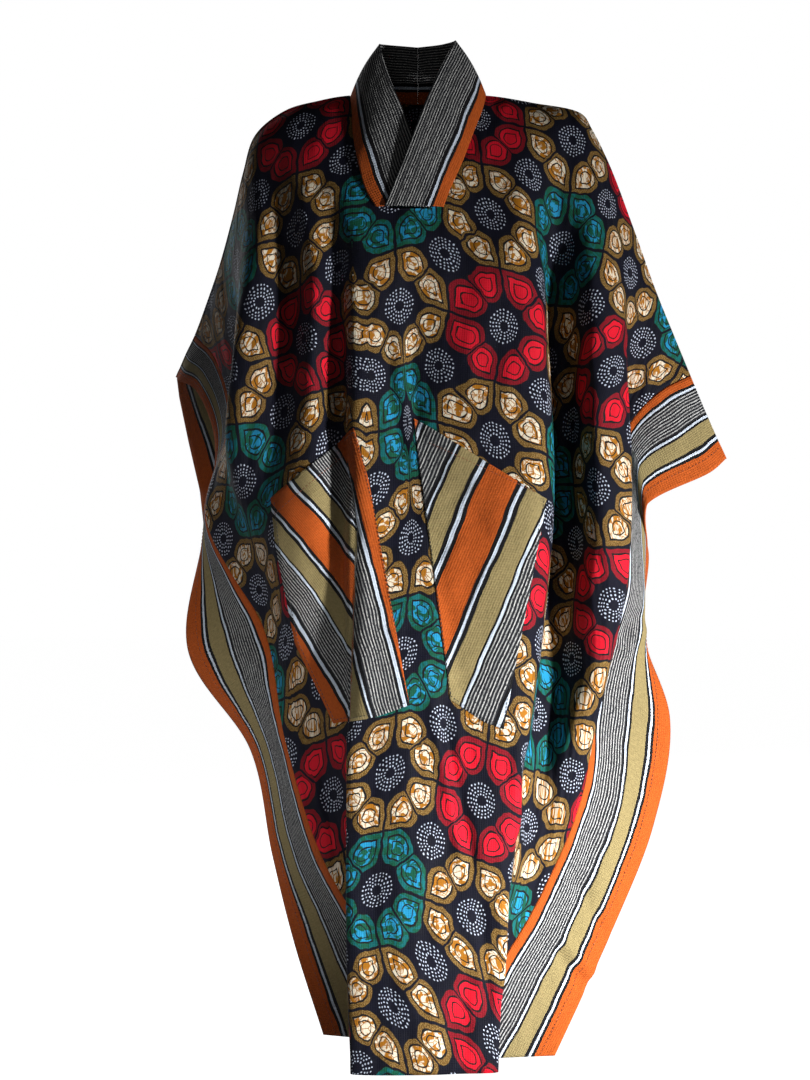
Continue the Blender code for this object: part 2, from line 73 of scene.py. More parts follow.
# One row for each fold line that runs from the shoulder line to the hem. lean is how far its height follows
# the side edge instead of the centre; x and y are its place in plan at each level.
Fold = namedtuple("Fold", "name lean x y")
FRONT_LEFT_FOLDS = (
    Fold("edge", 1.0, (-369, -363, -332, -302, -318, -338, -245, -212, -178, -136),
         (200, 180, 140, 110, 80, 40, 35, 30, 10, -30)),
    Fold("border middle", 0.92, (-352, -346, -320, -292, -316, -280, -214, -176, -118, -68),
         (170, 150, 115, 90, 60, 5, -30, -35, -30, -50)),
    Fold("border seam", 0.85, (-335, -328, -300, -277, -309, -222, -188, -136, -62, -12),
         (140, 125, 85, 55, 15, -40, -84, -88, -65, -62)),
    Fold("sleeve inner", 0.73, (-312, -306, -280, -258, -292, -216, -182, -130, -54, -6),
         (95, 80, 40, 20, -5, -52, -90, -92, -75, -78)),
    Fold("return", 0.60, (-290, -285, -264, -250, -275, -213, -176, -124, -50, -8),
         (55, 40, 0, -10, -30, -66, -94, -92, -85, -92)),
    Fold("body fold", 0.43, (-268, -266, -252, -259, -268, -214, -170, -118, -52, -18),
         (20, 5, -60, -92, -85, -80, -97, -92, -92, -104)),
    Fold("side ridge", 0.28, (-252, -250, -228, -222, -226, -212, -163, -112, -58, -34),
         (0, -15, -74, -100, -98, -98, -103, -95, -100, -116)),
    Fold("outer valley", 0.145, (-235, -232, -202, -181, -186, -200, -154, -106, -68, -52),
         (0, -20, -62, -72, -92, -114, -112, -104, -112, -130)),
    Fold("pocket ridge", 0.055, (-192, -190, -168, -146, -150, -152, -132, -96, -80, -70),
         (0, -25, -80, -120, -126, -134, -124, -122, -130, -148)),
    Fold("inner valley", 0.02, (-145, -143, -132, -114, -108, -106, -104, -94, -92, -84),
         (0, -28, -82, -108, -100, -122, -134, -146, -154, -170)),
    Fold("neck side", 0.0, (-99, -99, -94, -92, -90, -94, -96, -98, -98, -92),
         (0, -25, -85, -130, -140, -150, -160, -170, -180, -190)),
)
FRONT_CENTRE_FOLD = Fold("centre", 0.0, (0, 0, 0, 0, -10, -6, 0, 8, 10, 6),
                         (0, -25, -85, -132, -128, -146, -170, -180, -186, -196))
FRONT_RIGHT_FOLDS = (
    Fold("neck side", 0.0, (97, 97, 84, 74, 66, 66, 64, 60, 56, 55),
         (0, -25, -85, -130, -144, -154, -162, -168, -180, -188)),
    Fold("chest ridge", 0.02, (165, 162, 155, 161, 172, 178, 158, 133, 116, 107),
         (0, -30, -85, -130, -140, -150, -152, -160, -168, -178)),
    Fold("valley", 0.05, (236, 231, 200, 188, 193, 195, 178, 143, 113, 101),
         (0, -28, -62, -50, -38, -34, -46, -118, -140, -150)),
    Fold("valley floor", 0.09, (250, 246, 220, 210, 214, 216, 196, 149, 109, 90),
         (0, -27, -66, -50, -38, -34, -42, -98, -122, -130)),
    Fold("pleat ridge", 0.19, (276, 271, 250, 246, 248, 250, 206, 152, 104, 80),
         (0, -25, -80, -108, -116, -114, -50, -88, -110, -118)),
    Fold("pleat edge", 0.35, (308, 305, 292, 294, 300, 292, 224, 156, 98, 64),
         (0, -18, -64, -85, -92, -95, -84, -72, -96, -104)),
    Fold("return", 0.53, (342, 337, 300, 284, 284, 285, 236, 159, 94, 52),
         (0, -12, -34, -48, -52, -62, -80, -62, -84, -92)),
    Fold("sleeve inner", 0.66, (370, 348, 298, 282, 284, 266, 238, 163, 93, 44),
         (0, -14, -24, -28, -30, -48, -68, -55, -74, -80)),
    Fold("border seam", 0.77, (394, 356, 300, 296, 298, 256, 236, 169, 98, 46),
         (0, -16, -26, -18, -16, -34, -54, -50, -64, -68)),
    Fold("border middle", 0.885, (419, 394, 317, 322, 328, 302, 284, 228, 170, 120),
         (0, -20, -34, 0, 10, -6, -14, -18, -34, -48)),
    Fold("edge", 1.0, (446, 423, 330, 338, 330, 368, 344, 286, 240, 196),
         (0, -18, -24, 44, 52, 30, 30, 20, 0, -30)),
)

# The back's neckline is half an oval behind the shoulder line
NECK_HALF_WIDTH = 97 * MM
NECK_DEPTH = 60 * MM

# How far the back lies behind the shoulder line at each level, and where its free cuff edge hangs
BACK_DEPTH = (0, 38, 92, 112, 122, 132, 140, 150, 158, 165)
BACK_FOLD_DEPTH = (0, 0, 2, 5, 8, 12, 15, 17, 18, 19)
BACK_FOLDS = 2.5
# How the back curves forward to its edge, how its folds fade there, how far down the neckline still shapes
# it, and the least share of a row that is panel and not border
BACK_ROUND = 2.2
FOLD_FADE = 0.6
NECK_EASE = 0.20
PANEL_LEAST = 0.45
FULL_BACK_WIDTH = 300 * MM
CUFF_LEVELS = 4
Cuff = namedtuple("Cuff", "x y z")
BACK_CUFF_LEFT = Cuff((-369, -366, -352, -330), (200, 208, 204, 160), (-394, -424, -490, -570))
BACK_CUFF_RIGHT = Cuff((446, 420, 326, 330), (0, 22, 70, 92), (-526, -543, -588, -676))

# Neckline: how far down each column of the front starts, from the left neck side to the right
NECK_STARTS = (0.0, 0.110, 0.152, 0.160, 0.160, 0.160, 0.160, 0.156, 0.130, 0.080, 0.0)
NECK_STEPS = 5

# Sewn edge and free edge of the collar, by section from behind the neck to the front
Section = namedtuple("Section", "name sewn free")
COLLAR_RIGHT = (
    Section("behind", (0, 62, 2), (0, 66, 84)),
    Section("behind the side", (52, 50, 3), (32, 52, 85)),
    Section("side back", (84, 28, 4), (50, 26, 84)),
    Section("side", (97, -2, 3), (53, -6, 78)),
    Section("side front", (92, -34, -26), (44, -24, 60)),
    Section("upper front", (79, -58, -62), (26, -48, 20)),
    Section("lower front", (62, -88, -110), (6, -80, -32)),
    Section("crossing", (44, -105, -152), (-18, -103, -98)),
    Section("end", (35, -114, -177), (-48, -116, -176)),
)
COLLAR_LEFT = (
    Section("behind", (-1, 62, 2), (-1, 66, 84)),
    Section("behind the side", (-54, 50, 3), (-34, 52, 84)),
    Section("side back", (-85, 28, 3), (-52, 26, 80)),
    Section("side", (-97, -2, 0), (-55, -6, 72)),
    Section("side front", (-95, -34, -28), (-50, -24, 48)),
    Section("upper front", (-93, -60, -66), (-38, -48, 10)),
    Section("lower front", (-85, -89, -112), (-18, -70, -42)),
    Section("crossing", (-74, -103, -152), (0, -87, -96)),
    Section("end", (-60, -111, -176), (26, -105, -177)),
)

# Corners of each pocket seen from the front (x, z), clockwise from its inner top corner
POCKET_LEFT = ((-84, -484), (-70, -560), (12, -862), (-55, -886), (-118, -900), (-172, -790),
               (-200, -650), (-206, -585), (-104, -500))
POCKET_RIGHT = ((-8, -472), (8, -482), (181, -562), (152, -720), (117, -905), (90, -895), (43, -864))

# How many columns and rows of the cloth stand for one of the frame's
FINER_COLUMNS = 6
FINER_ROWS = 5

FRONT_FOLDS = FRONT_LEFT_FOLDS + (FRONT_CENTRE_FOLD,) + FRONT_RIGHT_FOLDS
CENTRE_INDEX = len(FRONT_LEFT_FOLDS)
LEFT_SEAM = 2
RIGHT_SEAM = len(FRONT_FOLDS) - 3
# How far a curve's slope may pass the rise between two levels: a share of it, and that many mm
OVERSHOOT = 2.5
OVERSHOOT_FREE = 2.0
COLUMN_STEPS = [2 * FINER_COLUMNS] * (len(FRONT_FOLDS) - 1)
COLUMN_STEPS[CENTRE_INDEX - 1] = NECK_STEPS * FINER_COLUMNS
COLUMN_STEPS[CENTRE_INDEX] = NECK_STEPS * FINER_COLUMNS
COLUMN_OF_FOLD = [sum(COLUMN_STEPS[:fold]) for fold in range(len(FRONT_FOLDS))]
FRONT_ROWS = 34 * FINER_ROWS
BACK_ROWS = 24 * FINER_ROWS
BACK_COLUMNS = 15 * FINER_COLUMNS
BORDER_COLUMNS = 3 * FINER_COLUMNS
ROW_CROWDING = 1.25
# Sampling of the surface before its rows and columns are shared out by length
DENSER = 2
DENSE_ROWS = 561
DENSE_TOP = 161

# Small creases that the hand leaves in the hanging cloth, seen from the front: from, to, width, depth.
# A depth above zero is a ridge, and one below zero is a trough.
Crease = namedtuple("Crease", "start end width depth")
FRONT_CREASES = [Crease(*row) for row in (
    # Pinched fold below the neckline
    ((-46, -360), (-26, -520), 9, -3.5), ((-12, -380), (0, -500), 9, -3.5),
    ((-30, -330), (-14, -520), 12, 3.0),
    # Left pocket
    ((-100, -505), (-86, -640), 11, -5.0), ((-86, -620), (-97, -905), 11, -5.0),
    ((-80, -560), (-74, -880), 14, 3.0), ((-190, -600), (-110, -700), 16, 2.5),
    ((-150, -640), (-125, -860), 18, -3.0),
    # Right pocket
    ((60, -560), (20, -700), 18, -2.5), ((120, -560), (90, -760), 24, 2.5),
    ((70, -600), (100, -640), 12, -2.5), ((20, -640), (60, -860), 14, -2.5),
    # Below the pockets: overlap, right edge and darts
    ((16, -870), (62, -1105), 8, 5.0), ((32, -870), (78, -1105), 8, -5.0),
    ((136, -935), (136, -1050), 8, 4.5), ((150, -935), (150, -1060), 9, -4.5),
    ((84, -1140), (98, -1290), 8, -4.0), ((112, -1140), (118, -1270), 8, 4.0),
    # Chest
    ((-150, -120), (-70, -330), 18, -2.5), ((-120, -130), (-52, -330), 16, 2.5),
    ((150, -150), (60, -400), 20, 2.5), ((180, -170), (96, -450), 18, -2.5),
    # Middle, near the hem
    ((-60, -920), (-70, -1200), 16, -3.0), ((-20, -920), (-6, -1340), 20, 3.0),
    # Sleeves
    ((-210, -160), (-190, -420), 14, 2.5), ((270, -190), (262, -480), 16, 2.5),
    # Striped borders
    ((318, -748), (290, -790), 9, -4.0), ((330, -770), (296, -815), 10, 4.0),
    ((-262, -700), (-226, -860), 18, 2.5), ((270, -960), (220, -1180), 18, -3.0),
    ((300, -960), (250, -1200), 18, 3.0), ((196, -1235), (246, -1292), 10, -4.5),
    ((206, -1220), (256, -1278), 9, 4.0), ((232, -1130), (268, -1215), 12, -4.0),
)]
# A crease keeps this share of its depth at its ends, and gains the rest at this rate along it
CREASE_END = 0.55
CREASE_FADE = 4
BACK_CREASES = [Crease(*row) for row in (
    # Shoulder blades, then long runs from left to right
    ((-150, -150), (-60, -520), 26, 3.0), ((150, -150), (70, -520), 26, 3.0),
    ((-110, -500), (-90, -1250), 22, -3.0), ((-10, -420), (6, -1330), 24, 3.0),
    ((100, -520), (84, -1250), 22, -3.0), ((-190, -560), (-150, -1200), 22, 3.0),
    ((200, -560), (160, -1200), 22, 3.0),
)]

# Woven bands in order, each as wide as it is cut: the collar from its sewn edge, the border from its outer
# edge, the pocket cloth from one plain orange band to the next
Band = namedtuple("Band", "yarn width")


def bands(text):
    """Woven bands from text that gives each one's yarn and width."""
    return [Band(yarn, float(width)) for yarn, width in (item.split() for item in text.split(", "))]


COLLAR_BANDS = bands("orange 17.5, black 5, pale 4.6, black 6.4, pin 64.5")
BORDER_BANDS = bands("orange 30, black 4.8, pale 4.4, black 4.8, khaki 28, black 3.2, pale 3.8, black 3, "
                     "pin 42, black 3, pale 4.2, black 3.8, orange 15")
POCKET_BANDS = bands("orange 27, black 4.8, pale 5, black 5.2, pin 42, black 3.4, pale 3.2, black 3.4, "
                     "khaki 29, black 5.2, pale 5.4, black 5.4, orange 48, black 5.2, pale 5.4, black 5.4, "
                     "khaki 29, black 3.4, pale 3.2, black 3.4, pin 42, black 4.8, pale 5, black 5.2, "
                     "orange 60")
# Where the stripes of the left pocket stand along its fold: height, then place in the woven width
FOLD_HEIGHTS = (-514, -580, -680, -730, -824, -885, -960)
FOLD_STRIPES = (10, 63, 155, 195, 260, 299, 345)
# The line of that fold, as places down and across, and where the stripes outside it are counted from
FOLD_LINE = ((508, 623, 893), (-101, -84, -94))
FOLD_X = -99
# Woven width for each millimetre seen: inside the left fold, outside it, across and down the right pocket
LEFT_NEAR, LEFT_AWAY, RIGHT_ACROSS, RIGHT_DOWN = 1.07, 1.085, 0.924, 0.389
# Place in the woven width at one point of the right pocket, then that point
RIGHT_STRIPE = (195, 42, -807.4)

# How far the bands wander, and the pin lines' spacing, which gives nine to a band
STRIPE_WANDER = 9 * MM
PIN_PITCH = 14 / 3 * MM

# Wax print: wreath spacing across and down, and where the wreath on the chest has its middle
PRINT_ACROSS = 135 * MM
PRINT_DOWN = 161 * MM
PRINT_MIDDLE = (-24 * MM, 348 * MM)
# How the print sits askew, in mm: it drops away from the middle, and shifts to one side further down
PRINT_DROP = ((0, 110, 240), (0, 34, 74))
PRINT_TWIST = ((0, 700, 1200, 1400), (0, 8, 0, 62))
# The pinched fold below the neckline: places down the cloth, what it hides there on each side, its middle
PINCH_HIDDEN = ((360, 470, 560, 700), (0, 26, 26, 0))
PINCH_MIDDLE = PRINT_MIDDLE[0] * 0.8
PINCH_EASE = 9 * MM
# Laying a panel out flat: points across and down it, rounds, and the place down it that stays where it is
EVEN_ACROSS = 30
EVEN_DOWN = 34
EVEN_ROUNDS = 60
PIN_DOWN = 350 * MM

# Hems: how far the cloth is turned over, what that adds to its thickness, how softly it ends, and the
# share of that thickness which the stitching pulls in again
HEM_WIDTH = 12 * MM
HEM_RISE = 0.6 * MM
HEM_EDGE = 1.6 * MM
HEM_FURROW = 0.35
BORDER_HEM = 25 * MM
POCKET_HEM = 20 * MM
# Collar: width, points across it and between two sections, its standing bulge and ripple, its rolled edge
COLLAR_WIDTH = 98 * MM
COLLAR_ACROSS = 30
COLLAR_STEPS = 18
COLLAR_BULGE = 5 * MM
COLLAR_RIPPLE = 0.5 * MM
COLLAR_RIPPLE_LENGTH = 13 * MM
COLLAR_RIPPLE_SLANT = 6
COLLAR_ROLL = 6 * MM
COLLAR_RISE = 0.4 * MM
# Thread: radius, distance in from where a hem ends, and distance in mm from the pocket's outline
THREAD_RADIUS = 0.55 * MM
THREAD_FROM_EDGE = 3 * MM
POCKET_INSET = 5
# How much longer the pocket hem is straight down than square to its slanting top
HEM_SLANT = 1.15
# How far the thread and a stitch's tips stand out in shares of its radius, points along a run of it, and
# the stitches' spacing and the ends of their bar in shares of a stitch's length
THREAD_LIFT = 0.35
TIP_LIFT = 0.1
RUN_STEP = 3 * MM
STITCH_PITCH = 1.35
STITCH_STATIONS = (0, 0.2, 0.8, 1.0)

# Print drawing, in shares of one wreath's spacing: where a petal's middle is beside the seam and out from the
# wreath's middle, its size, and how soon the drawn lines between two petals end
PETAL_ASIDE = 0.170
PETAL_OUT = 0.333
PETAL_SIZE = 0.163
PETAL_RIM = 0.060
PRINT_WANDER = 0.035
# From a petal's middle to its outline: fill, a drawn line in it, a line round it, band, outline, ground
FILL, BAND, LINE, GROUND = (1, 0, 0, 1), (0, 1, 0, 1), (0, 0, 1, 1), (0, 0, 0, 1)
PETAL_STEPS = ((0.0, FILL), (0.33, LINE), (0.395, FILL), (0.61, LINE), (0.71, BAND), (0.95, LINE),
               (0.995, GROUND))
RINGS = 4
RING_FIRST = 0.056
RING_STEP = 0.029
DOT_SIZE = 0.0072

# Half the gap between the collar's halves, then the seam allowance pressed up inside the neck: the sections
# that it runs over, distance in, thickness, lower and upper edge, and the place in the bands it is cut from
COLLAR_GAP = 0.02 * MM
SEAM_SECTIONS = 3
SEAM_IN = 2.2 * MM
SEAM_WALL = 0.6 * MM
SEAM_HEIGHTS = (-4 * MM, 7 * MM)
SEAM_STRIPE = 6 * MM
# Stage, in metres; the camera stands level, and the view's height is what it sees at the robe
FLOOR_HEIGHT = -1.41
FLOOR_SIZE = 30
FLOOR_CURVE = 7.0
CAMERA_PLACE = (-0.019, -3.4, -0.6438)
VIEW_HEIGHT = 1.566
SENSOR = 24.0
# Lamp name, place, what it points at, size in metres, watts, spread in degrees
LIGHTS = (
    ("key_lamp", (2.7, -2.2, -1.3), (0.2, 0.0, -1.2), 0.4, 28.0, 50.0),
    ("fill_lamp", (-0.4, -3.8, -0.7), (0.0, 0.0, -0.8), 1.6, 2.5, 180.0),
    ("border_lamp", (-1.6, -3.0, -1.2), (-0.32, 0.0, -0.95), 0.3, 0.45, 16.0),
    ("rear_lamp", (-1.6, 2.6, 0.6), (0.0, 0.0, -0.6), 2.0, 40.0, 180.0),
)


def spline(points, steps):
    """Centripetal Catmull-Rom curves through points (n, rows, 3); steps lists the samples of each span."""
    points = np.concatenate([2 * points[:1] - points[1:2], points, 2 * points[-1:] - points[-2:-1]])
    out = []
    for i, count in enumerate(steps):
        p0, p1, p2, p3 = points[i:i + 4]
        knots = [0.0]
        for a, b in ((p0, p1), (p1, p2), (p2, p3)):
            knots.append(knots[-1] + np.maximum(np.linalg.norm(b - a, axis=-1, keepdims=True), 1e-6) ** 0.5)
        t0, t1, t2, t3 = knots
        for share in np.arange(count) / count:
            t = t1 + (t2 - t1) * share
            a1 = ((t1 - t) * p0 + (t - t0) * p1) / (t1 - t0)
            a2 = ((t2 - t) * p1 + (t - t1) * p2) / (t2 - t1)
            a3 = ((t3 - t) * p2 + (t - t2) * p3) / (t3 - t2)
            b1 = ((t2 - t) * a1 + (t - t0) * a2) / (t2 - t0)
            b2 = ((t3 - t) * a2 + (t - t1) * a3) / (t3 - t1)
            out.append(((t2 - t) * b1 + (t - t1) * b2) / (t2 - t1))
    out.append(points[-2])
    return np.array(out)


def along_levels(values, shares):
    """Smooth value at each share of the way down, from one value for each of LEVELS."""
    levels = np.array(LEVELS)
    values = np.asarray(values, float)
    slopes = np.gradient(values, levels)
    shares = np.clip(shares, 0.0, 1.0)
    index = np.clip(np.searchsorted(levels, shares, side="right") - 1, 0, len(levels) - 2)
    width = levels[index + 1] - levels[index]
    t = (shares - levels[index]) / width
    rise = values[index + 1] - values[index]
    limit = OVERSHOOT * np.abs(rise) + OVERSHOOT_FREE
    start = np.clip(slopes[index] * width, -limit, limit)
    end = np.clip(slopes[index + 1] * width, -limit, limit)
    return (values[index] + start * t + (3 * rise - 2 * start - end) * t ** 2
            + (start + end - 2 * rise) * t ** 3)


def fold_point(fold, share):
    """Points in metres on a fold line at shares of the way down."""
    edge = HEIGHT_LEFT_EDGE if fold.x[0] < 0 else HEIGHT_RIGHT_EDGE
    centre = along_levels(HEIGHT_CENTRE, share)
    z = centre + fold.lean * (along_levels(edge, share) - centre)
    return np.stack([along_levels(fold.x, share), along_levels(fold.y, share), z], axis=-1) * MM


def lengths(points, axis):
    """Running length along one axis of a grid of points."""
    steps = np.linalg.norm(np.diff(points, axis=axis), axis=-1)
    return np.concatenate([np.zeros_like(np.take(steps, [0], axis=axis)), np.cumsum(steps, axis=axis)],
                          axis=axis)


def unit(vectors):
    """Vectors of length one."""
    return vectors / np.maximum(np.linalg.norm(vectors, axis=-1, keepdims=True), 1e-9)


def sampled(places, run, line):
    """Points of a line at places along its run."""
    return np.array([np.interp(places, run, values) for values in line.T]).T


def front_rows(shares):
    """Rows of the front from the left edge to the right edge, at shares of the way down."""
    folds = np.array([fold_point(fold, shares) for fold in FRONT_FOLDS])
    dense = spline(folds, [count * DENSER for count in COLUMN_STEPS]).transpose(1, 0, 2)
    run = lengths(dense, 1)
    anchors = [COLUMN_OF_FOLD[fold] for fold in
               (0, LEFT_SEAM, CENTRE_INDEX - 1, CENTRE_INDEX + 1, RIGHT_SEAM, -1)]
    rows = []
    for row, length in zip(dense, run):
        by_fold = length[::DENSER]
        even = np.interp(np.arange(len(by_fold)), anchors, by_fold[anchors])
        stations = (by_fold + even) / 2
        rows.append(sampled(stations, length, row))
    return np.array(rows)


def front_cloth():
    """Middle of the front's wall as rows of points, with each point's place across and down the cut cloth."""
    dense_shares = np.linspace(0, 1, DENSE_ROWS)
    dense = front_rows(dense_shares)
    down = lengths(dense, 0)
    across = lengths(dense, 1)
    across = across - across[:, [COLUMN_OF_FOLD[CENTRE_INDEX]]]
    full = np.concatenate([dense, across[:, :, None], down[:, :, None]], axis=2)
    spacing = np.linspace(0, 1, FRONT_ROWS + 1) ** ROW_CROWDING
    first = COLUMN_OF_FOLD[CENTRE_INDEX - 1]
    grid = np.empty((FRONT_ROWS + 1, dense.shape[1], 5))
    for column in range(dense.shape[1]):
        start = np.interp((column - first) / FINER_COLUMNS, range(len(NECK_STARTS)), NECK_STARTS, 0.0, 0.0)
        shares = start + (1 - start) * spacing
        grid[:, column] = sampled(shares, dense_shares, full[:, column])
    return grid[:, :, :3], grid[:, :, 3:]


def normals_of(grid):
    """Unit normals of a grid of points, across its rows and columns."""
    return unit(np.cross(np.gradient(grid, axis=1), np.gradient(grid, axis=0)))


def joined_edge(side, share):
    """Where the back's edge lies: one layer behind the front's edge, square to the front's border."""
    edge, middle = (FRONT_FOLDS[0], FRONT_FOLDS[1]) if side < 0 else (FRONT_FOLDS[-1], FRONT_FOLDS[-2])
    outer = fold_point(edge, share)
    along = outer - fold_point(middle, share)
    behind = unit(np.array([-along[1], along[0], 0.0]))
    return outer + behind * np.sign(behind[1]) * EDGE_STEP


def back_edge(side, share):
    """Outer edge of the back: free at the cuff, then just behind the front's edge."""
    cuff = BACK_CUFF_LEFT if side < 0 else BACK_CUFF_RIGHT
    last = LEVELS[CUFF_LEVELS]
    if share >= last:
        return joined_edge(side, share)
    stations = list(LEVELS[:CUFF_LEVELS]) + [last]
    end = joined_edge(side, last)
    return np.array([np.interp(share, stations, list(np.array(values) * MM) + [end[axis]])
                     for axis, values in enumerate(cuff)])


def back_row(side, share, ridge_even):
    """Half a row of the back, from the centre to the side edge, before it is shared out by length."""
    edge = back_edge(side, share)
    shares = np.linspace(0, 1, len(ridge_even))
    lean = ridge_even[:, 2] / ridge_even[-1, 2]
    depth = along_levels(BACK_DEPTH, share) * MM
    wave = along_levels(BACK_FOLD_DEPTH, share) * MM * min(abs(edge[0]) / FULL_BACK_WIDTH, 1.0)
    centre_height = along_levels(HEIGHT_CENTRE, share) * MM
    round_y = depth + (edge[1] - depth) * shares ** BACK_ROUND
    faded = wave * np.sin(np.pi * shares) ** FOLD_FADE
    round_y = round_y + faded * np.sin(2 * np.pi * BACK_FOLDS * shares + side)
    round_z = centre_height + lean * (edge[2] - centre_height)
    hung = np.stack([edge[0] * shares, round_y, round_z], axis=1)
    ease = np.clip(share / NECK_EASE, 0, 1)
    ease = ease * ease * (3 - 2 * ease)
    hollow = NECK_DEPTH * np.sqrt(np.clip(1 - (ridge_even[:, 0] / NECK_HALF_WIDTH) ** 2, 0, 1))
    rest_of_depth = depth * (1 - hollow / (BACK_DEPTH[3] * MM)) * (1 - shares)
    near = ridge_even + np.stack([0 * shares, hollow + rest_of_depth + (edge[1] - ridge_even[-1, 1]) * shares,
                                  round_z - ridge_even[:, 2]], axis=1)
    near[:, 0] += (edge[0] - ridge_even[-1, 0]) * shares
    return near * (1 - ease) + hung * ease


def share_by_length(points):
    """Even points along a line: the panel's columns, then the border's over the last of its width."""
    length = lengths(points, 0)
    seam = max(length[-1] - BORDER_WIDTH, PANEL_LEAST * length[-1])
    stations = np.concatenate([np.linspace(0, seam, BACK_COLUMNS + 1),
                               np.linspace(seam, length[-1], BORDER_COLUMNS + 1)[1:]])
    return sampled(stations, length, points)


def back_cloth():
    """Middle of the back's wall in rows down, with each point's place across and down the cut cloth."""
    middle = COLUMN_OF_FOLD[CENTRE_INDEX]
    top = front_rows(np.zeros(1))[0]
    evened = {}
    for side, ridge in ((-1, top[middle::-1]), (1, top[middle:])):
        length = lengths(ridge, 0)
        evened[side] = sampled(np.linspace(0, 1, DENSE_TOP), length / length[-1], ridge)
    rows = []
    for share in np.linspace(0, 1, BACK_ROWS + 1) ** ROW_CROWDING:
        left = share_by_length(back_row(-1, share, evened[-1]))
        right = share_by_length(back_row(1, share, evened[1]))
        rows.append(np.concatenate([left[::-1], right[1:]]))
    grid = np.array(rows)
    across = lengths(grid, 1)
    across = across - across[:, [grid.shape[1] // 2]]
    return grid, np.stack([across, lengths(grid, 0)], axis=2)


def press_creases(grid, normals, creases, strength):
    """Move the points out and in along the creases, softly towards each one's ends."""
    flat = grid[:, :, [0, 2]] / MM
    moved = np.zeros(flat.shape[:2])
    for crease in creases:
        start = np.array(crease.start, float)
        run = np.array(crease.end, float) - start
        share = ((flat - start) @ run) / (run @ run)
        beside = np.linalg.norm(flat - start - np.clip(share, 0, 1)[:, :, None] * run, axis=2)
        ends = np.clip(np.minimum(share, 1 - share) * CREASE_FADE + CREASE_END, 0, 1)
        moved += crease.depth * np.exp(-(beside / crease.width) ** 2) * ends
    return grid + normals * (moved * strength * MM)[:, :, None]


def pull_back(grid, side, distance):
    """Move a grid's first or last column inward by a distance, to leave the gap at a seam."""
    grid = grid.copy()
    here, inward = (0, 1) if side == "first" else (-1, -2)
    step = grid[:, inward] - grid[:, here]
    grid[:, here] += unit(step) * distance
    return grid


def part_top(grid, normals, towards):
    """Move a grid's first row to its own side of the shoulder line, further where its wall stands upright."""
    grid = grid.copy()
    sideways = normals[0].copy()
    sideways[:, 2] = 0
    grid[0] += sideways * (WALL / 2 + SEAM_GAP)
    grid[0, :, 1] += towards * SEAM_GAP
    return grid


def drop_old(name):
    """Take away a piece made by an earlier run of its operator."""
    old = bpy.data.objects.get(name)
    if old:
        bpy.data.objects.remove(old, do_unlink=True)


def add_piece(name, points, faces, maps, material):
    """Mesh object with smooth faces, outward normals and one UV map for each entry of maps."""
    drop_old(name)
    mesh = bpy.data.meshes.new(name)
    mesh.from_pydata([tuple(point) for point in points], [], faces)
    shell = bmesh.new()
    shell.from_mesh(mesh)
    bmesh.ops.recalc_face_normals(shell, faces=shell.faces)
    shell.to_mesh(mesh)
    shell.free()
    corners = np.empty(len(mesh.loops), int)
    mesh.loops.foreach_get("vertex_index", corners)
    for title, places in maps.items():
        layer = mesh.uv_layers.new(name=title)
        layer.data.foreach_set("uv", np.asarray(places, float)[corners].ravel())
    mesh.polygons.foreach_set("use_smooth", [True] * len(mesh.polygons))
    mesh.materials.append(material)
    piece = bpy.data.objects.new(name, mesh)
    bpy.context.collection.objects.link(piece)
    return piece


def wall_piece(name, middle, normals, maps, material, thickness=WALL, extra=None):
    """Closed wall round a grid of middle points; extra thickens its outer face, point by point."""
    rows, columns = middle.shape[:2]
    grown = 0 if extra is None else extra[:, :, None]
    outer = middle + normals * (thickness / 2 + grown)
    inner = middle - normals * thickness / 2
    layer = rows * columns
    index = np.arange(layer).reshape(rows, columns)
    a, b, c, d = index[:-1, :-1], index[:-1, 1:], index[1:, 1:], index[1:, :-1]
    front = np.stack([a, d, c, b], axis=-1).reshape(-1, 4)
    back = np.stack([a, b, c, d], axis=-1).reshape(-1, 4) + layer
    rim = np.concatenate([index[0], index[1:, -1], index[-1, -2::-1], index[-2:0:-1, 0]])
    after = np.roll(rim, -1)
    edge = np.stack([rim, after, after + layer, rim + layer], axis=-1)
    faces = np.concatenate([front, back, edge]).tolist()
    points = np.concatenate([outer.reshape(-1, 3), inner.reshape(-1, 3)])
    maps = {title: np.tile(places.reshape(-1, 2), (2, 1)) for title, places in maps.items()}
    return add_piece(name, points, faces, maps, material)


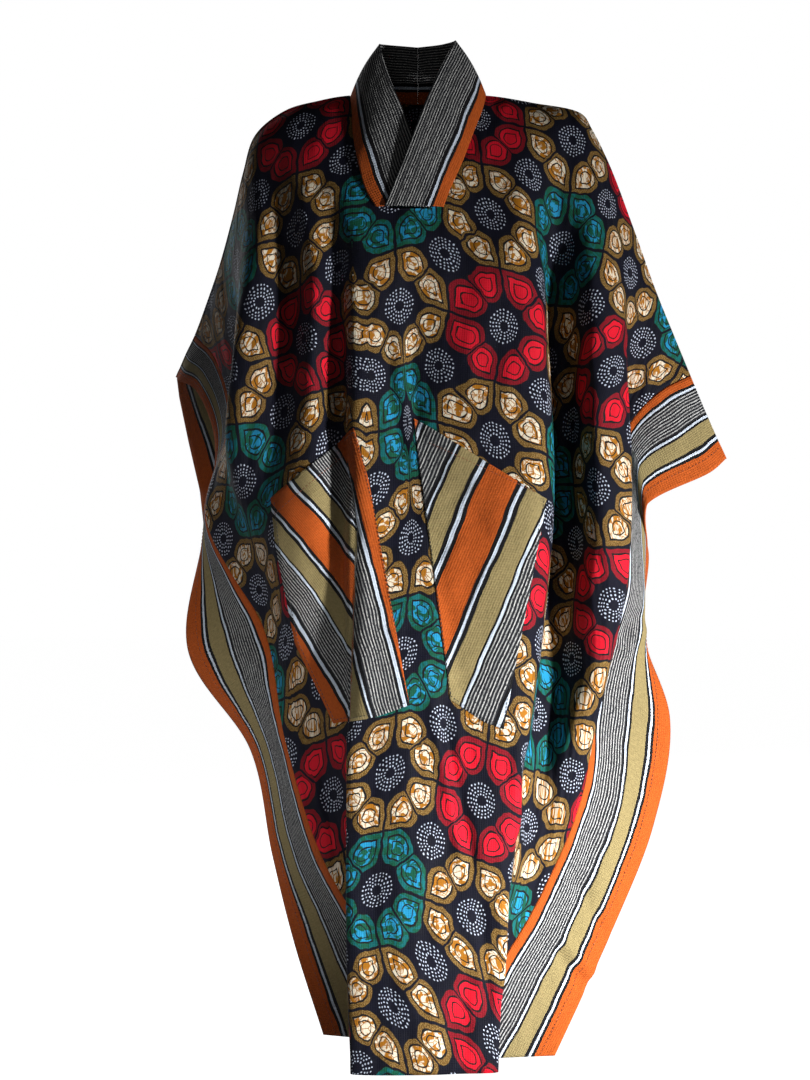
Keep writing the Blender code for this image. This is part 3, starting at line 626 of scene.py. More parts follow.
def even_places(grid, cut):
    """Places on the cut cloth laid out flat with little shear, as rigidly as its shape allows.

    Coarse triangles of the cloth are turned, and then joined, over and over until they fit side by side.
    Places in the plane are complex numbers here, so that to turn one is to multiply it.
    """
    rows, columns = (np.unique(np.linspace(0, size - 1, count).round().astype(int))
                     for size, count in zip(grid.shape, (EVEN_DOWN, EVEN_ACROSS)))
    coarse = grid[np.ix_(rows, columns)].reshape(-1, 3)
    place = cut[np.ix_(rows, columns)].reshape(-1, 2).copy()
    index = np.arange(len(coarse)).reshape(len(rows), len(columns))
    a, b, c, d = (part.ravel() for part in (index[:-1, :-1], index[:-1, 1:], index[1:, 1:], index[1:, :-1]))
    corners = np.concatenate([np.stack(three, axis=1)
                              for three in ((a, b, d), (b, c, d), (a, b, c), (a, c, d))])
    # Each triangle laid flat: first edge along x, third corner beside it
    first = coarse[corners[:, 1]] - coarse[corners[:, 0]]
    second = coarse[corners[:, 2]] - coarse[corners[:, 0]]
    length = np.linalg.norm(first, axis=1)
    along = np.einsum("ij,ij->i", first, second) / length
    beside = np.sqrt(np.maximum(np.einsum("ij,ij->i", second, second) - along ** 2, 1e-12))
    third = along + 1j * beside
    edges = np.stack([length + 0j, third - length, -third], axis=1)
    here, there = corners.ravel(), np.roll(corners, -1, axis=1).ravel()
    weights = np.repeat(beside * length, 3) / np.maximum(np.abs(edges.ravel()) ** 2, 1e-12)
    matrix = np.zeros((len(coarse), len(coarse)))
    np.add.at(matrix, (here, here), weights)
    np.add.at(matrix, (there, there), weights)
    np.add.at(matrix, (here, there), -weights)
    np.add.at(matrix, (there, here), -weights)
    pinned = np.argmin(np.abs(place[:, 0]) + np.abs(place[:, 1] - PIN_DOWN))
    matrix[pinned, pinned] += weights.sum()
    inverse = np.linalg.inv(matrix)
    places = place[:, 0] + 1j * place[:, 1]
    held = places[pinned] * weights.sum()
    for _ in range(EVEN_ROUNDS):
        spread = (places[there] - places[here]).reshape(-1, 3)
        turn = np.sum(spread * np.conj(edges), axis=1)
        turned = (edges * (turn / np.abs(turn))[:, None]).ravel() * weights
        pull = np.zeros(len(coarse), complex)
        np.add.at(pull, there, turned)
        np.add.at(pull, here, -turned)
        pull[pinned] += held
        places = inverse @ pull
    moved = (np.stack([places.real, places.imag], axis=1) - place).reshape(len(rows), len(columns), 2)
    for axis, known in ((0, rows), (1, columns)):
        moved = np.apply_along_axis(lambda line: np.interp(np.arange(grid.shape[axis]), known, line),
                                    axis, moved)
    return cut + moved


def print_places(cut, pinched):
    """Places in the wax print, in wreaths, from places on the cut cloth.

    The cloth leans down from the neck to the shoulders and twists a little to one side near the hem, and
    the front's pinched fold below the neckline hides a strip of it.
    """
    across, down = cut[:, :, 0], cut[:, :, 1]
    drop = np.interp(np.abs(across) / MM, *PRINT_DROP) * MM
    twist = np.interp(down / MM, *PRINT_TWIST) * MM
    hidden = np.interp(down / MM, *PINCH_HIDDEN) * MM
    side = np.tanh((across - PINCH_MIDDLE) / PINCH_EASE)
    return np.stack([(across - twist + pinched * side * hidden - PRINT_MIDDLE[0]) / PRINT_ACROSS,
                     (PRINT_MIDDLE[1] - down + drop) / PRINT_DOWN], axis=2)


@lru_cache(maxsize=None)
def front_shape(strength):
    """The front's creased middle, its outward normals and its places on the cut cloth."""
    grid, cut = front_cloth()
    grid = press_creases(grid, -normals_of(grid), FRONT_CREASES, strength)
    return grid, -normals_of(grid), cut


@lru_cache(maxsize=None)
def back_shape(strength):
    """The back's creased middle, its outward normals and its places on the cut cloth."""
    grid, cut = back_cloth()
    grid = press_creases(grid, normals_of(grid), BACK_CREASES, strength)
    return grid, normals_of(grid), cut


def fold_over(places, width, rise):
    """Extra thickness of a hem turned over by width, with the furrow that its stitching pulls in."""
    turned = (1 - np.tanh((places - width) / HEM_EDGE)) / 2
    furrow = np.exp(-((places - width + THREAD_FROM_EDGE) / (0.75 * HEM_EDGE)) ** 2)
    return rise * (turned - HEM_FURROW * furrow)


def build_half(shape, parts, towards, settings):
    """Panel and two borders of the front or the back, each cut from its columns of the one grid."""
    grid, normals, cut = shape
    for name, first, last, side in parts:
        columns = slice(first, last + 1)
        piece_grid = part_top(grid[:, columns], normals[:, columns], towards)
        if side >= 0:
            piece_grid = pull_back(piece_grid, "first", SEAM_PULL)
        if side <= 0:
            piece_grid = pull_back(piece_grid, "last", SEAM_PULL)
        own = cut[:, columns]
        from_hem = own[-1:, :, 1] - own[:, :, 1]
        hem = fold_over(from_hem, HEM_WIDTH, HEM_RISE)
        if side == 0:
            laid = even_places(grid[:, columns], own)
            maps = {"Cut": own, "Print": print_places(laid, name == "front_panel")}
            material = print_cotton(settings)
        else:
            outer = own[:, :1] if side < 0 else own[:, -1:]
            seam = own[:, -1:] if side < 0 else own[:, :1]
            place = np.abs(own[:, :, 0] - outer[:, :, 0]) / np.abs(seam[:, :, 0] - outer[:, :, 0])
            maps = {"Stripe": np.stack([place * BORDER_WIDTH, own[:, :, 1]], axis=2)}
            hem = np.maximum(hem, fold_over(place * BORDER_WIDTH, BORDER_HEM, HEM_RISE))
            material = woven_stripe("woven stripe, border", BORDER_BANDS, settings)
        piece = wall_piece("cloth_" + name, piece_grid, normals[:, columns], maps, material, WALL, hem)
        dress(piece, name)


def dress(piece, node=None):
    """Make a piece move with the robe and, if it is a sheet, stand for its node."""
    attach(piece, "root")
    if node:
        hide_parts(node)
    return piece


def collar_shape(sections):
    """Middle and normals of one half of the collar, with places from its sewn edge and along it."""
    steps = [COLLAR_STEPS] * (len(sections) - 1)
    sewn, free = (spline(np.array([section[edge] for section in sections], float)[:, None] * MM, steps)
                  for edge in (1, 2))
    shares = np.linspace(0, 1, COLLAR_ACROSS + 1)[None, :, None]
    grid = sewn * (1 - shares) + free * shares
    normals = normals_of(grid)
    normals = normals * np.sign(np.sum(normals * grid * (1, 1, 0)))
    along = lengths(grid, 0)
    ripple = COLLAR_RIPPLE * np.sin(along[:, :, None] / COLLAR_RIPPLE_LENGTH + COLLAR_RIPPLE_SLANT * shares)
    grid = grid + normals * (COLLAR_BULGE + ripple) * np.sin(np.pi * shares)
    grid[0, :, 0] = np.sign(sections[1].sewn[0]) * COLLAR_GAP
    normals[0, :, 0] = 0
    normals[0] = unit(normals[0])
    place = np.broadcast_to(shares[:, :, 0] * COLLAR_WIDTH, along.shape)
    return grid, normals, np.stack([place, along], axis=2)


def build_collar(settings):
    """Both halves of the collar, with their turned edges."""
    material = woven_stripe("woven stripe, collar", COLLAR_BANDS, settings)
    for name, sections in (("collar_left", COLLAR_LEFT), ("collar_right", COLLAR_RIGHT)):
        grid, normals, places = collar_shape(sections)
        roll = fold_over(COLLAR_WIDTH - places[:, :, 0], COLLAR_ROLL, COLLAR_RISE)
        piece = wall_piece("cloth_" + name, grid, normals, {"Stripe": places}, material, WALL, roll)
        dress(piece, name)
        # The seam allowance, pressed up against the collar's foot on the inside behind the neck
        foot = grid[:SEAM_SECTIONS * COLLAR_STEPS, 0]
        inward = -unit(foot * (1, 1, 0))
        strip = (foot + inward * SEAM_IN)[:, None] + np.linspace(*SEAM_HEIGHTS, 5)[:, None] * (0, 0, 1)
        facing = np.broadcast_to(inward[:, None], strip.shape)
        along = np.broadcast_to(lengths(foot, 0)[:, None], strip.shape[:2])
        maps = {"Stripe": np.stack([np.full(along.shape, SEAM_STRIPE), along], axis=2)}
        dress(wall_piece("seam_" + name, strip, facing, maps, material, SEAM_WALL))


def left_stripes(x, z):
    """Place in the woven width on the left pocket, whose stripes turn where a fold swallows a strip."""
    inner_top, inner_foot = POCKET_LEFT[0], POCKET_LEFT[2]
    edge = inner_top[0] + (inner_foot[0] - inner_top[0]) * (inner_top[1] - z) / (inner_top[1] - inner_foot[1])
    near = LEFT_NEAR * (edge - x)
    away = np.interp(-z, -np.array(FOLD_HEIGHTS), FOLD_STRIPES) + LEFT_AWAY * (FOLD_X - x)
    return np.where(x > np.interp(-z, *FOLD_LINE), near, away)


def right_stripes(x, z):
    """Place in the woven width on the right pocket, whose stripes lean the other way."""
    place, known_x, known_z = RIGHT_STRIPE
    return place + RIGHT_ACROSS * (x - known_x) + RIGHT_DOWN * (known_z - z)


def build_pocket(name, corners, top, columns, stripes, shape, settings):
    """Patch pocket moved out from the front's own points inside its corners, with a turned top hem."""
    grid, normals, cut = shape
    cloth = bmesh.new()
    outward = cloth.verts.layers.float_vector.new("outward")
    down = cloth.verts.layers.float.new("down")
    made = {}
    for row in range(grid.shape[0]):
        for column in columns:
            vert = cloth.verts.new(grid[row, column])
            vert[outward] = normals[row, column]
            vert[down] = cut[row, column, 1]
            made[row, column] = vert
    for row in range(grid.shape[0] - 1):
        for column in columns[:-1]:
            cloth.faces.new((made[row, column], made[row + 1, column], made[row + 1, column + 1],
                             made[row, column + 1]))
    middle = np.mean(corners, axis=0)
    for here, there in zip(corners, corners[1:] + corners[:1]):
        along = np.array(there, float) - np.array(here, float)
        away = np.array([along[1], -along[0]])
        if np.dot(away, middle - np.array(here)) > 0:
            away = -away
        bmesh.ops.bisect_plane(cloth, geom=cloth.verts[:] + cloth.edges[:] + cloth.faces[:], dist=1e-6,
                               plane_co=(here[0] * MM, 0, here[1] * MM), plane_no=(away[0], 0, away[1]),
                               clear_outer=True)
    cloth.verts.index_update()
    points = np.array([vert.co for vert in cloth.verts])
    out = unit(np.array([vert[outward] for vert in cloth.verts]))
    lower = np.array([vert[down] for vert in cloth.verts])
    start, end = np.array(top, float) * MM
    across = unit(np.array([end[1] - start[1], start[0] - end[0]]))
    from_top = np.abs((points[:, [0, 2]] - start) @ across)
    hem = fold_over(from_top, POCKET_HEM, HEM_RISE)
    near = points + out * (WALL / 2 + SEAM_GAP)
    far = near + out * (POCKET_WALL + hem)[:, None]
    count = len(points)
    faces = []
    for face in cloth.faces:
        ring = [vert.index for vert in face.verts]
        faces.append([index + count for index in ring])
        faces.append(ring[::-1])
    for edge in cloth.edges:
        if len(edge.link_faces) == 1:
            ring = [vert.index for vert in edge.link_faces[0].verts]
            a, b = (vert.index for vert in edge.verts)
            if ring[(ring.index(a) + 1) % len(ring)] != b:
                a, b = b, a
            faces.append([a, b, b + count, a + count])
    cloth.free()
    places = np.stack([stripes(points[:, 0] / MM, points[:, 2] / MM) * MM, lower], axis=1)
    maps = {"Stripe": np.concatenate([places, places])}
    material = woven_stripe("woven stripe, pocket", POCKET_BANDS, settings)
    piece = add_piece("cloth_" + name, np.concatenate([near, far]), faces, maps, material)
    dress(piece, name)


def add_stitches(name, run, material, length):
    """Thread as one mesh: a short bar with two tips for each stitch along a run of points and normals."""
    points = []
    faces = []
    line, normals = run
    run = lengths(line, 0)
    for start in np.arange(length * 0.5, run[-1] - length, length * STITCH_PITCH):
        stations = start + length * np.array(STITCH_STATIONS)
        spots = sampled(stations, run, line)
        up = unit(sampled(start, run, normals)) * THREAD_RADIUS
        side = np.cross(unit(spots[-1] - spots[0]), up)
        base = len(points)
        points.append(spots[0] + up * TIP_LIFT)
        for spot in spots[1:3]:
            for angle in math.pi / 4 + math.pi / 2 * np.arange(4):
                points.append(spot + math.cos(angle) * side + (math.sin(angle) + THREAD_LIFT) * up)
        points.append(spots[3] + up * TIP_LIFT)
        for turn in range(4):
            after = (turn + 1) % 4
            faces.append((base, base + 1 + turn, base + 1 + after))
            faces.append((base + 1 + turn, base + 5 + turn, base + 5 + after, base + 1 + after))
            faces.append((base + 9, base + 5 + after, base + 5 + turn))
    return dress(add_piece(name, points, faces, {}, material))


def surface_run(piece, corners):
    """Points and normals on a piece along a line of (x, z) corners seen from the front."""
    tree = BVHTree.FromPolygons([vert.co for vert in piece.data.vertices],
                                [list(face.vertices) for face in piece.data.polygons])
    line = np.array(corners, float) * MM
    run = lengths(line, 0)
    stations = np.arange(0, run[-1], RUN_STEP)
    spots = []
    normals = []
    for x, z in zip(np.interp(stations, run, line[:, 0]), np.interp(stations, run, line[:, 1])):
        place, normal, *_ = tree.ray_cast((x, -1.0, z), (0, 1, 0))
        if place:
            spots.append(place)
            normals.append(normal if normal.y < 0 else -normal)
    return np.array(spots), np.array(normals)


def grid_run(shape, column_share, columns, rise):
    """Line down a border's outer face at a share of the way across its columns."""
    grid, normals, _ = shape
    place = columns[0] + (columns[1] - columns[0]) * column_share
    low = int(place)
    share = place - low
    line = grid[:, low] * (1 - share) + grid[:, low + 1] * share
    out = normals[:, low] * (1 - share) + normals[:, low + 1] * share
    return line[2:] + out[2:] * rise, out[2:]


def inset(corners, distance):
    """Corners of a closed outline moved in towards its middle by about a distance."""
    away = np.array(corners, float) - np.mean(corners, axis=0)
    return [tuple(corner) for corner in corners - unit(away) * distance]


def build_thread(settings):
    """Stitching of the hems and pockets, with each sheet's list of the small pieces that belong to it."""
    length = settings.stitch_length
    orange = cotton_thread("cotton thread, rust", settings.orange, 0.5)
    dark = cotton_thread("cotton thread, black", settings.black, 1.0)
    front = front_shape(settings.crease_strength)
    back = back_shape(settings.crease_strength)
    rise = WALL / 2 + HEM_RISE * 0.75
    share = (BORDER_HEM - THREAD_FROM_EDGE) / BORDER_WIDTH
    last = front[0].shape[1] - 1
    far = back[0].shape[1] - 1
    borders = (("front_border_left", front, (0, COLUMN_OF_FOLD[LEFT_SEAM])),
               ("front_border_right", front, (last, COLUMN_OF_FOLD[RIGHT_SEAM])),
               ("back_border_left", back, (0, BORDER_COLUMNS)),
               ("back_border_right", back, (far, far - BORDER_COLUMNS)))
    thread = {name: [bpy.data.objects["seam_" + name]] for name in ("collar_left", "collar_right")}
    for name, shape, columns in borders:
        run = grid_run(shape, share, columns, rise)
        thread[name] = [add_stitches("thread_" + name, run, orange, length)]
    for name, corners, top in (("pocket_left", POCKET_LEFT, len(POCKET_LEFT) - 2),
                               ("pocket_right", POCKET_RIGHT, 1)):
        piece = bpy.data.objects["cloth_" + name]
        outline = inset(corners, POCKET_INSET)
        # The side and foot seams run from one end of the top hem round to the other
        outline = outline[top + 1:] + outline[:top + 1]
        below = (POCKET_HEM - THREAD_FROM_EDGE) / MM * HEM_SLANT
        hem = [(x, z - below) for x, z in (outline[0], outline[-1])]
        thread[name] = [add_stitches(title + name, surface_run(piece, line), yarn, length)
                        for title, line, yarn in (("thread_", outline, dark), ("thread_hem_", hem, orange))]
    return thread


def linear(code):
    """Linear colour from an sRGB hex value."""
    values = [int(code[place:place + 2], 16) / 255 for place in (1, 3, 5)]
    return tuple(value / 12.92 if value <= 0.04045 else ((value + 0.055) / 1.055) ** 2.4 for value in values)


def add_node(tree, name, kind, *inputs, **settings):
    """Named shader node; a text input links from the node of that name, as "name" or "name>output"."""
    node = tree.nodes.new("ShaderNode" + kind)
    node.name = name
    for key, value in settings.items():
        setattr(node, key, value)
    pairs = inputs[0].items() if inputs and isinstance(inputs[0], dict) else enumerate(inputs)
    for place, value in pairs:
        if isinstance(value, str):
            source, _, output = value.partition(">")
            tree.links.new(tree.nodes[source].outputs[output or 0], node.inputs[place])
        elif value is not None:
            node.inputs[place].default_value = value
    return node


def fill_ramp(node, stops):
    """Give a colour ramp flat steps from (place, colour with alpha) pairs."""
    ramp = node.color_ramp
    ramp.interpolation = "CONSTANT"
    while len(ramp.elements) > 1:
        ramp.elements.remove(ramp.elements[-1])
    ramp.elements[0].position = stops[0][0]
    ramp.elements[0].color = stops[0][1]
    for place, colour in stops[1:]:
        ramp.elements.new(place).color = colour


def new_material(name):
    """Fresh material and the function that adds its nodes, or the old one of that name and None."""
    old = bpy.data.materials.get(name)
    if old:
        return old, None
    material = bpy.data.materials.new(name)
    material.use_nodes = True
    material.node_tree.nodes.clear()
    return material, partial(add_node, material.node_tree)


def paints(settings):
    """Every colour of the settings, with its alpha."""
    values = {name: getattr(settings, name) for name in settings.__annotations__}
    return {name: (*value, 1) for name, value in values.items() if not isinstance(value, float)}


def print_cotton(settings):
    """Wax print cotton: plain weave printed through, matt with a slight calendered gloss.

    Wreaths of eight hand-drawn petals stand in rows, red by gold and teal by gold, with dotted rosettes in
    and between them. Fine pale cracks run through the gold and teal where the wax broke.
    """
    material, n = new_material("wax print cotton")
    if n is None:
        return material
    c = paints(settings)
    n("print", "UVMap", uv_map="Print")
    n("cut", "UVMap", uv_map="Cut")
    # Uneven drawing by 1 to 2 mm, batik blotches, printed grain, and the dye's own unevenness
    for name, vector, scale, detail, distortion in (
            ("wander", "print", 9.0, 1.0, 0.0), ("blotch", "cut", 95.0, 2.0, 0.6),
            ("grain", "cut", 700.0, 1.0, 0.0), ("dye", "cut", 60.0, 3.0, 0.0)):
        n(name, "TexNoise", {"Vector": vector, "Scale": scale, "Detail": detail, "Distortion": distortion},
          noise_dimensions="2D")
    n("wander centred", "VectorMath", "wander>Color", (0.5, 0.5, 0.5), operation="SUBTRACT")
    n("wander small", "VectorMath", {0: "wander centred", "Scale": PRINT_WANDER}, operation="SCALE")
    n("drawn", "VectorMath", "print", "wander small", operation="ADD")
    n("xy", "SeparateXYZ", "drawn")
    for axis in "XY":
        for name, operation, *inputs in (
                ("cell ", "ADD", "xy>" + axis, 0.5), ("index ", "FLOOR", "cell " + axis),
                ("local ", "SUBTRACT", "xy>" + axis, "index " + axis), ("abs ", "ABSOLUTE", "local " + axis),
                ("odd ", "FLOORED_MODULO", "index " + axis, 2.0), ("gap ", "SUBTRACT", 0.5, "abs " + axis)):
            n(name + axis, "Math", *inputs, operation=operation)
    for name, operation, *inputs in (
            # Which colours a wreath takes: red and teal turn and turn about with gold
            ("odd apart", "SUBTRACT", "odd X", "odd Y"), ("red part", "GREATER_THAN", "odd apart", 0.5),
            ("teal part", "LESS_THAN", "odd apart", -0.5),
            # Petal: round with one square corner, which points out beside the seam between two petals
            ("low", "MINIMUM", "abs X", "abs Y"), ("high", "MAXIMUM", "abs X", "abs Y"),
            ("to seam", "SUBTRACT", PETAL_ASIDE, "low"), ("to rim", "SUBTRACT", "high", PETAL_OUT),
            ("seam squared", "MULTIPLY", "to seam", "to seam"),
            ("round squared", "MULTIPLY_ADD", "to rim", "to rim", "seam squared"),
            ("round", "SQRT", "round squared"), ("square", "MAXIMUM", "to seam", "to rim"),
            ("corner low", "MINIMUM", "to seam", "to rim"), ("corner", "GREATER_THAN", "corner low", 0.0),
            # Neighbours are kept apart by a line down the seam and one across the corner of the wreath
            ("aslant", "SUBTRACT", "high", "low"), ("aslant far", "MULTIPLY", "aslant", math.sqrt(0.5)),
            ("neighbour", "MINIMUM", "low", "aslant far")):
        n(name, "Math", *inputs, operation=operation)
    n("petal far", "Mix", {0: "corner", 2: "round", 3: "square"})
    n("petal", "Math", "petal far", PETAL_SIZE, operation="DIVIDE")
    n("rim", "MapRange", {0: "neighbour", 1: 0.0, 2: PETAL_RIM, 3: 1.12, 4: 0.0})
    n("petal within", "Math", "petal", "rim", operation="MAXIMUM")
    # Red marks the fill, green the outer band, blue the drawn lines
    fill_ramp(n("marks", "ValToRGB", "petal within"), PETAL_STEPS)
    n("mark", "SeparateColor", "marks")
    # Batik colour inside the petals: cream breaks in the gold, green breaks in the blue
    n("blotch edge", "MapRange", {0: "blotch", 1: 0.45, 2: 0.52})
    n("grain edge", "MapRange", {0: "grain", 1: 0.47, 2: 0.60})
    n("crack", "TexVoronoi", {"Vector": "cut", "Scale": 110.0}, voronoi_dimensions="2D",
      feature="DISTANCE_TO_EDGE")
    n("crack line", "Math", "crack", 0.05, operation="LESS_THAN")
    n("cream broken", "Math", "blotch edge", "crack line", operation="SUBTRACT", use_clamp=True)
    # Rosettes: rings of white dots in each wreath and between four wreaths
    n("in wreath", "CombineXYZ", "local X", "local Y")
    n("in gap", "CombineXYZ", "gap X", "gap Y")
    n("wreath far", "VectorMath", "in wreath", operation="LENGTH")
    n("gap far", "VectorMath", "in gap", operation="LENGTH")
    n("nearer gap", "Math", "gap far>Value", "wreath far>Value", operation="LESS_THAN")
    n("rosette", "Mix", {0: "nearer gap", 4: "in wreath", 5: "in gap"}, data_type="VECTOR")
    n("rosette xy", "SeparateXYZ", "rosette>Result")
    n("radius", "VectorMath", "rosette>Result", operation="LENGTH")
    for name, operation, *inputs in (
            ("turn", "ARCTAN2", "rosette xy>Y", "rosette xy>X"),
            ("ring place", "SUBTRACT", "radius>Value", RING_FIRST),
            ("ring share", "DIVIDE", "ring place", RING_STEP), ("ring round", "ROUND", "ring share"),
            ("ring floor", "MAXIMUM", "ring round", 0.0), ("ring", "MINIMUM", "ring floor", RINGS - 1.0),
            # Twelve dots in the first ring, and four more in each one round it
            ("dots", "MULTIPLY_ADD", "ring", 4.0, 12.0), ("dot turn", "MULTIPLY", "turn", "dots"),
            ("dot place", "DIVIDE", "dot turn", 2 * math.pi), ("dot share", "FRACT", "dot place"),
            ("dot aside", "SUBTRACT", "dot share", 0.5),
            ("ring radius", "MULTIPLY_ADD", "ring", RING_STEP, RING_FIRST),
            ("dot pitch", "DIVIDE", "ring radius", "dots"),
            ("dot arc", "MULTIPLY", "dot pitch", 2 * math.pi),
            ("dot across", "MULTIPLY", "dot aside", "dot arc"),
            ("dot out", "SUBTRACT", "radius>Value", "ring radius")):
        n(name, "Math", *inputs, operation=operation)
    n("dot spot", "CombineXYZ", "dot across", "dot out")
    n("dot far", "VectorMath", "dot spot", operation="LENGTH")
    n("dot", "MapRange", {0: "dot far>Value", 1: DOT_SIZE * 1.25, 2: DOT_SIZE * 0.75})
    for name, share, first, second in (
            ("gold fill", "cream broken", c["gold"], c["cream"]),
            ("teal fill", "blotch edge", c["cyan"], c["green"]),
            ("gold band", "grain edge", c["gold_dark"], c["gold_pale"]),
            ("red band", "grain edge", c["red_dark"], c["red_mid"]),
            ("teal band", "blotch edge", c["teal"], c["green"]),
            ("fill a", "red part", "gold fill>Result", c["red"]),
            ("fill", "teal part", "fill a>Result", "teal fill>Result"),
            ("band a", "red part", "gold band>Result", "red band>Result"),
            ("band", "teal part", "band a>Result", "teal band>Result"),
            ("ground", "dye", c["navy"], c["navy_light"]),
            ("with dots", "dot", "ground>Result", c["dot_white"]),
            ("with fill", "mark>Red", "with dots>Result", "fill>Result"),
            ("with band", "mark>Green", "with fill>Result", "band>Result"),
            ("with line", "mark>Blue", "with band>Result", c["black"])):
        n(name, "Mix", {0: share, 6: first, 7: second}, data_type="RGBA")
    # The real threads stand 0.4 mm apart; they are drawn at 1.6 mm, the finest that shows
    for name, axis in (("warp", "X"), ("weft", "Y")):
        n(name, "TexWave", {"Vector": "cut", "Scale": 98.0, "Distortion": 1.0}, bands_direction=axis)
    n("weave", "Math", "warp>Fac", "weft>Fac", operation="ADD")
    n("relief", "Math", "dye", 2.0, "weave", operation="MULTIPLY_ADD")
    # Soft rumples a few centimetres wide, longer than wide as the cloth hangs
    n("hung place", "VectorMath", "cut", (26.0, 11.0, 1.0), operation="MULTIPLY")
    n("rumple", "TexNoise", {"Vector": "hung place", "Scale": 1.0, "Detail": 1.5}, noise_dimensions="2D")
    n("rumpled", "Bump", {"Strength": 0.6, "Distance": 0.012, "Height": "rumple"})
    n("bump", "Bump", {"Strength": 0.35, "Distance": 0.0006, "Height": "relief", "Normal": "rumpled"})
    n("rub", "MapRange", {0: "dye", 3: 0.66, 4: 0.84})
    n("shader", "BsdfPrincipled", {"Base Color": "with line>Result", "Roughness": "rub", "IOR": 1.47,
                                   "Specular IOR Level": 0.14, "Normal": "bump"})
    n("output", "OutputMaterial", "shader")
    return material


def woven_stripe(name, bands, settings):
    """Handwoven cotton strip cloth: coarse matt yarn, beaten in tight, in plain bands and fine pin lines."""
    material, n = new_material(name)
    if n is None:
        return material
    c = paints(settings)
    width = sum(band.width for band in bands) * MM
    n("place", "UVMap", uv_map="Stripe")
    n("stretch", "VectorMath", "place", (900.0, 260.0, 1.0), operation="MULTIPLY")
    # The bands' wander, broken pin lines, slubs of thicker and paler yarn, and soft rumples
    for title, vector, scale, detail in (
            ("wander", "place", 12.0, 2.0), ("fibre", "stretch", 1.0, 1.0), ("slub", "place", 220.0, 3.0),
            ("rumple", "place", 24.0, 1.5)):
        n(title, "TexNoise", {"Vector": vector, "Scale": scale, "Detail": detail}, noise_dimensions="2D")
    n("xy", "SeparateXYZ", "place")
    n("aside", "Math", "wander", 0.5, operation="SUBTRACT")
    n("woven place", "Math", "aside", STRIPE_WANDER, "xy>X", operation="MULTIPLY_ADD")
    n("share", "Math", "woven place", width, operation="DIVIDE")
    # The alpha of the ramp marks the bands of pin lines
    c["pin"] = (*settings.pin_dark, 0)
    starts = np.cumsum([0] + [band.width for band in bands]) * MM / width
    fill_ramp(n("bands", "ValToRGB", "share"), [(start, c[band.yarn]) for start, band in zip(starts, bands)])
    n("broken", "MapRange", {0: "fibre", 1: 0.26, 2: 0.44})
    n("pin turn", "Math", "woven place", 2 * math.pi / PIN_PITCH, operation="MULTIPLY")
    n("pin wave", "Math", "pin turn", operation="SINE")
    n("pin", "MapRange", {0: "pin wave", 1: 0.2, 2: 0.7})
    n("pin broken", "Math", "pin", "broken", operation="MULTIPLY")
    n("not pin", "Math", 1.0, "bands>Alpha", operation="SUBTRACT")
    n("pin here", "Math", "pin broken", "not pin", operation="MULTIPLY")
    n("with pin", "Mix", {0: "pin here", 6: "bands", 7: c["pin_pale"]}, data_type="RGBA")
    n("shade", "MapRange", {0: "slub", 1: 0.25, 2: 0.75, 3: 0.86, 4: 1.10})
    n("coloured", "VectorMath", {0: "with pin>Result", "Scale": "shade"}, operation="SCALE")
    # Yarn 0.8 mm apart in the real cloth, drawn at 1.8 mm so that the rib shows
    n("rib", "TexWave", {"Vector": "place", "Scale": 88.0, "Distortion": 2.0, "Detail Scale": 3.0},
      bands_direction="Y")
    n("warp", "TexWave", {"Vector": "place", "Scale": 88.0, "Distortion": 1.0}, bands_direction="X")
    n("yarns", "Math", "rib>Fac", "warp>Fac", operation="ADD")
    n("relief", "Math", "slub", 1.5, "yarns", operation="MULTIPLY_ADD")
    n("rumpled", "Bump", {"Strength": 0.5, "Distance": 0.008, "Height": "rumple"})
    n("bump", "Bump", {"Strength": 0.5, "Distance": 0.0008, "Height": "relief", "Normal": "rumpled"})
    n("shader", "BsdfPrincipled", {"Base Color": "coloured", "Roughness": 0.88, "IOR": 1.47,
                                   "Specular IOR Level": 0.15, "Normal": "bump"})
    n("output", "OutputMaterial", "shader")
    return material


def cotton_thread(name, colour, depth):
    """Spun cotton sewing thread: matt, with a twist too fine to draw, so its colour is mottled instead."""
    return mottled(name, colour, (0.55 * depth, depth), 400.0, {"Roughness": 0.75, "Sheen Weight": 0.2})


def studio_paper(name, colour):
    """Matt seamless studio paper, pale and even, with a faint mottle."""
    return mottled(name, colour, (0.98, 1.0), 3.0, {"Roughness": 0.9, "Emission Color": (1, 1, 1, 1),
                                                    "Emission Strength": 0.97})


def mottled(name, colour, depths, scale, finish):
    """Material whose colour wanders between two depths, with the given finish."""
    material, n = new_material(name)
    if n is None:
        return material
    n("place", "TexCoord")
    n("mottle", "TexNoise", {"Vector": "place>Object", "Scale": scale})
    dark, light = ((*[value * depth for value in colour], 1) for depth in depths)
    n("shade", "Mix", {0: "mottle", 6: dark, 7: light}, data_type="RGBA")
    n("shader", "BsdfPrincipled", {"Base Color": "shade>Result", **finish})
    n("output", "OutputMaterial", "shader")
    return material


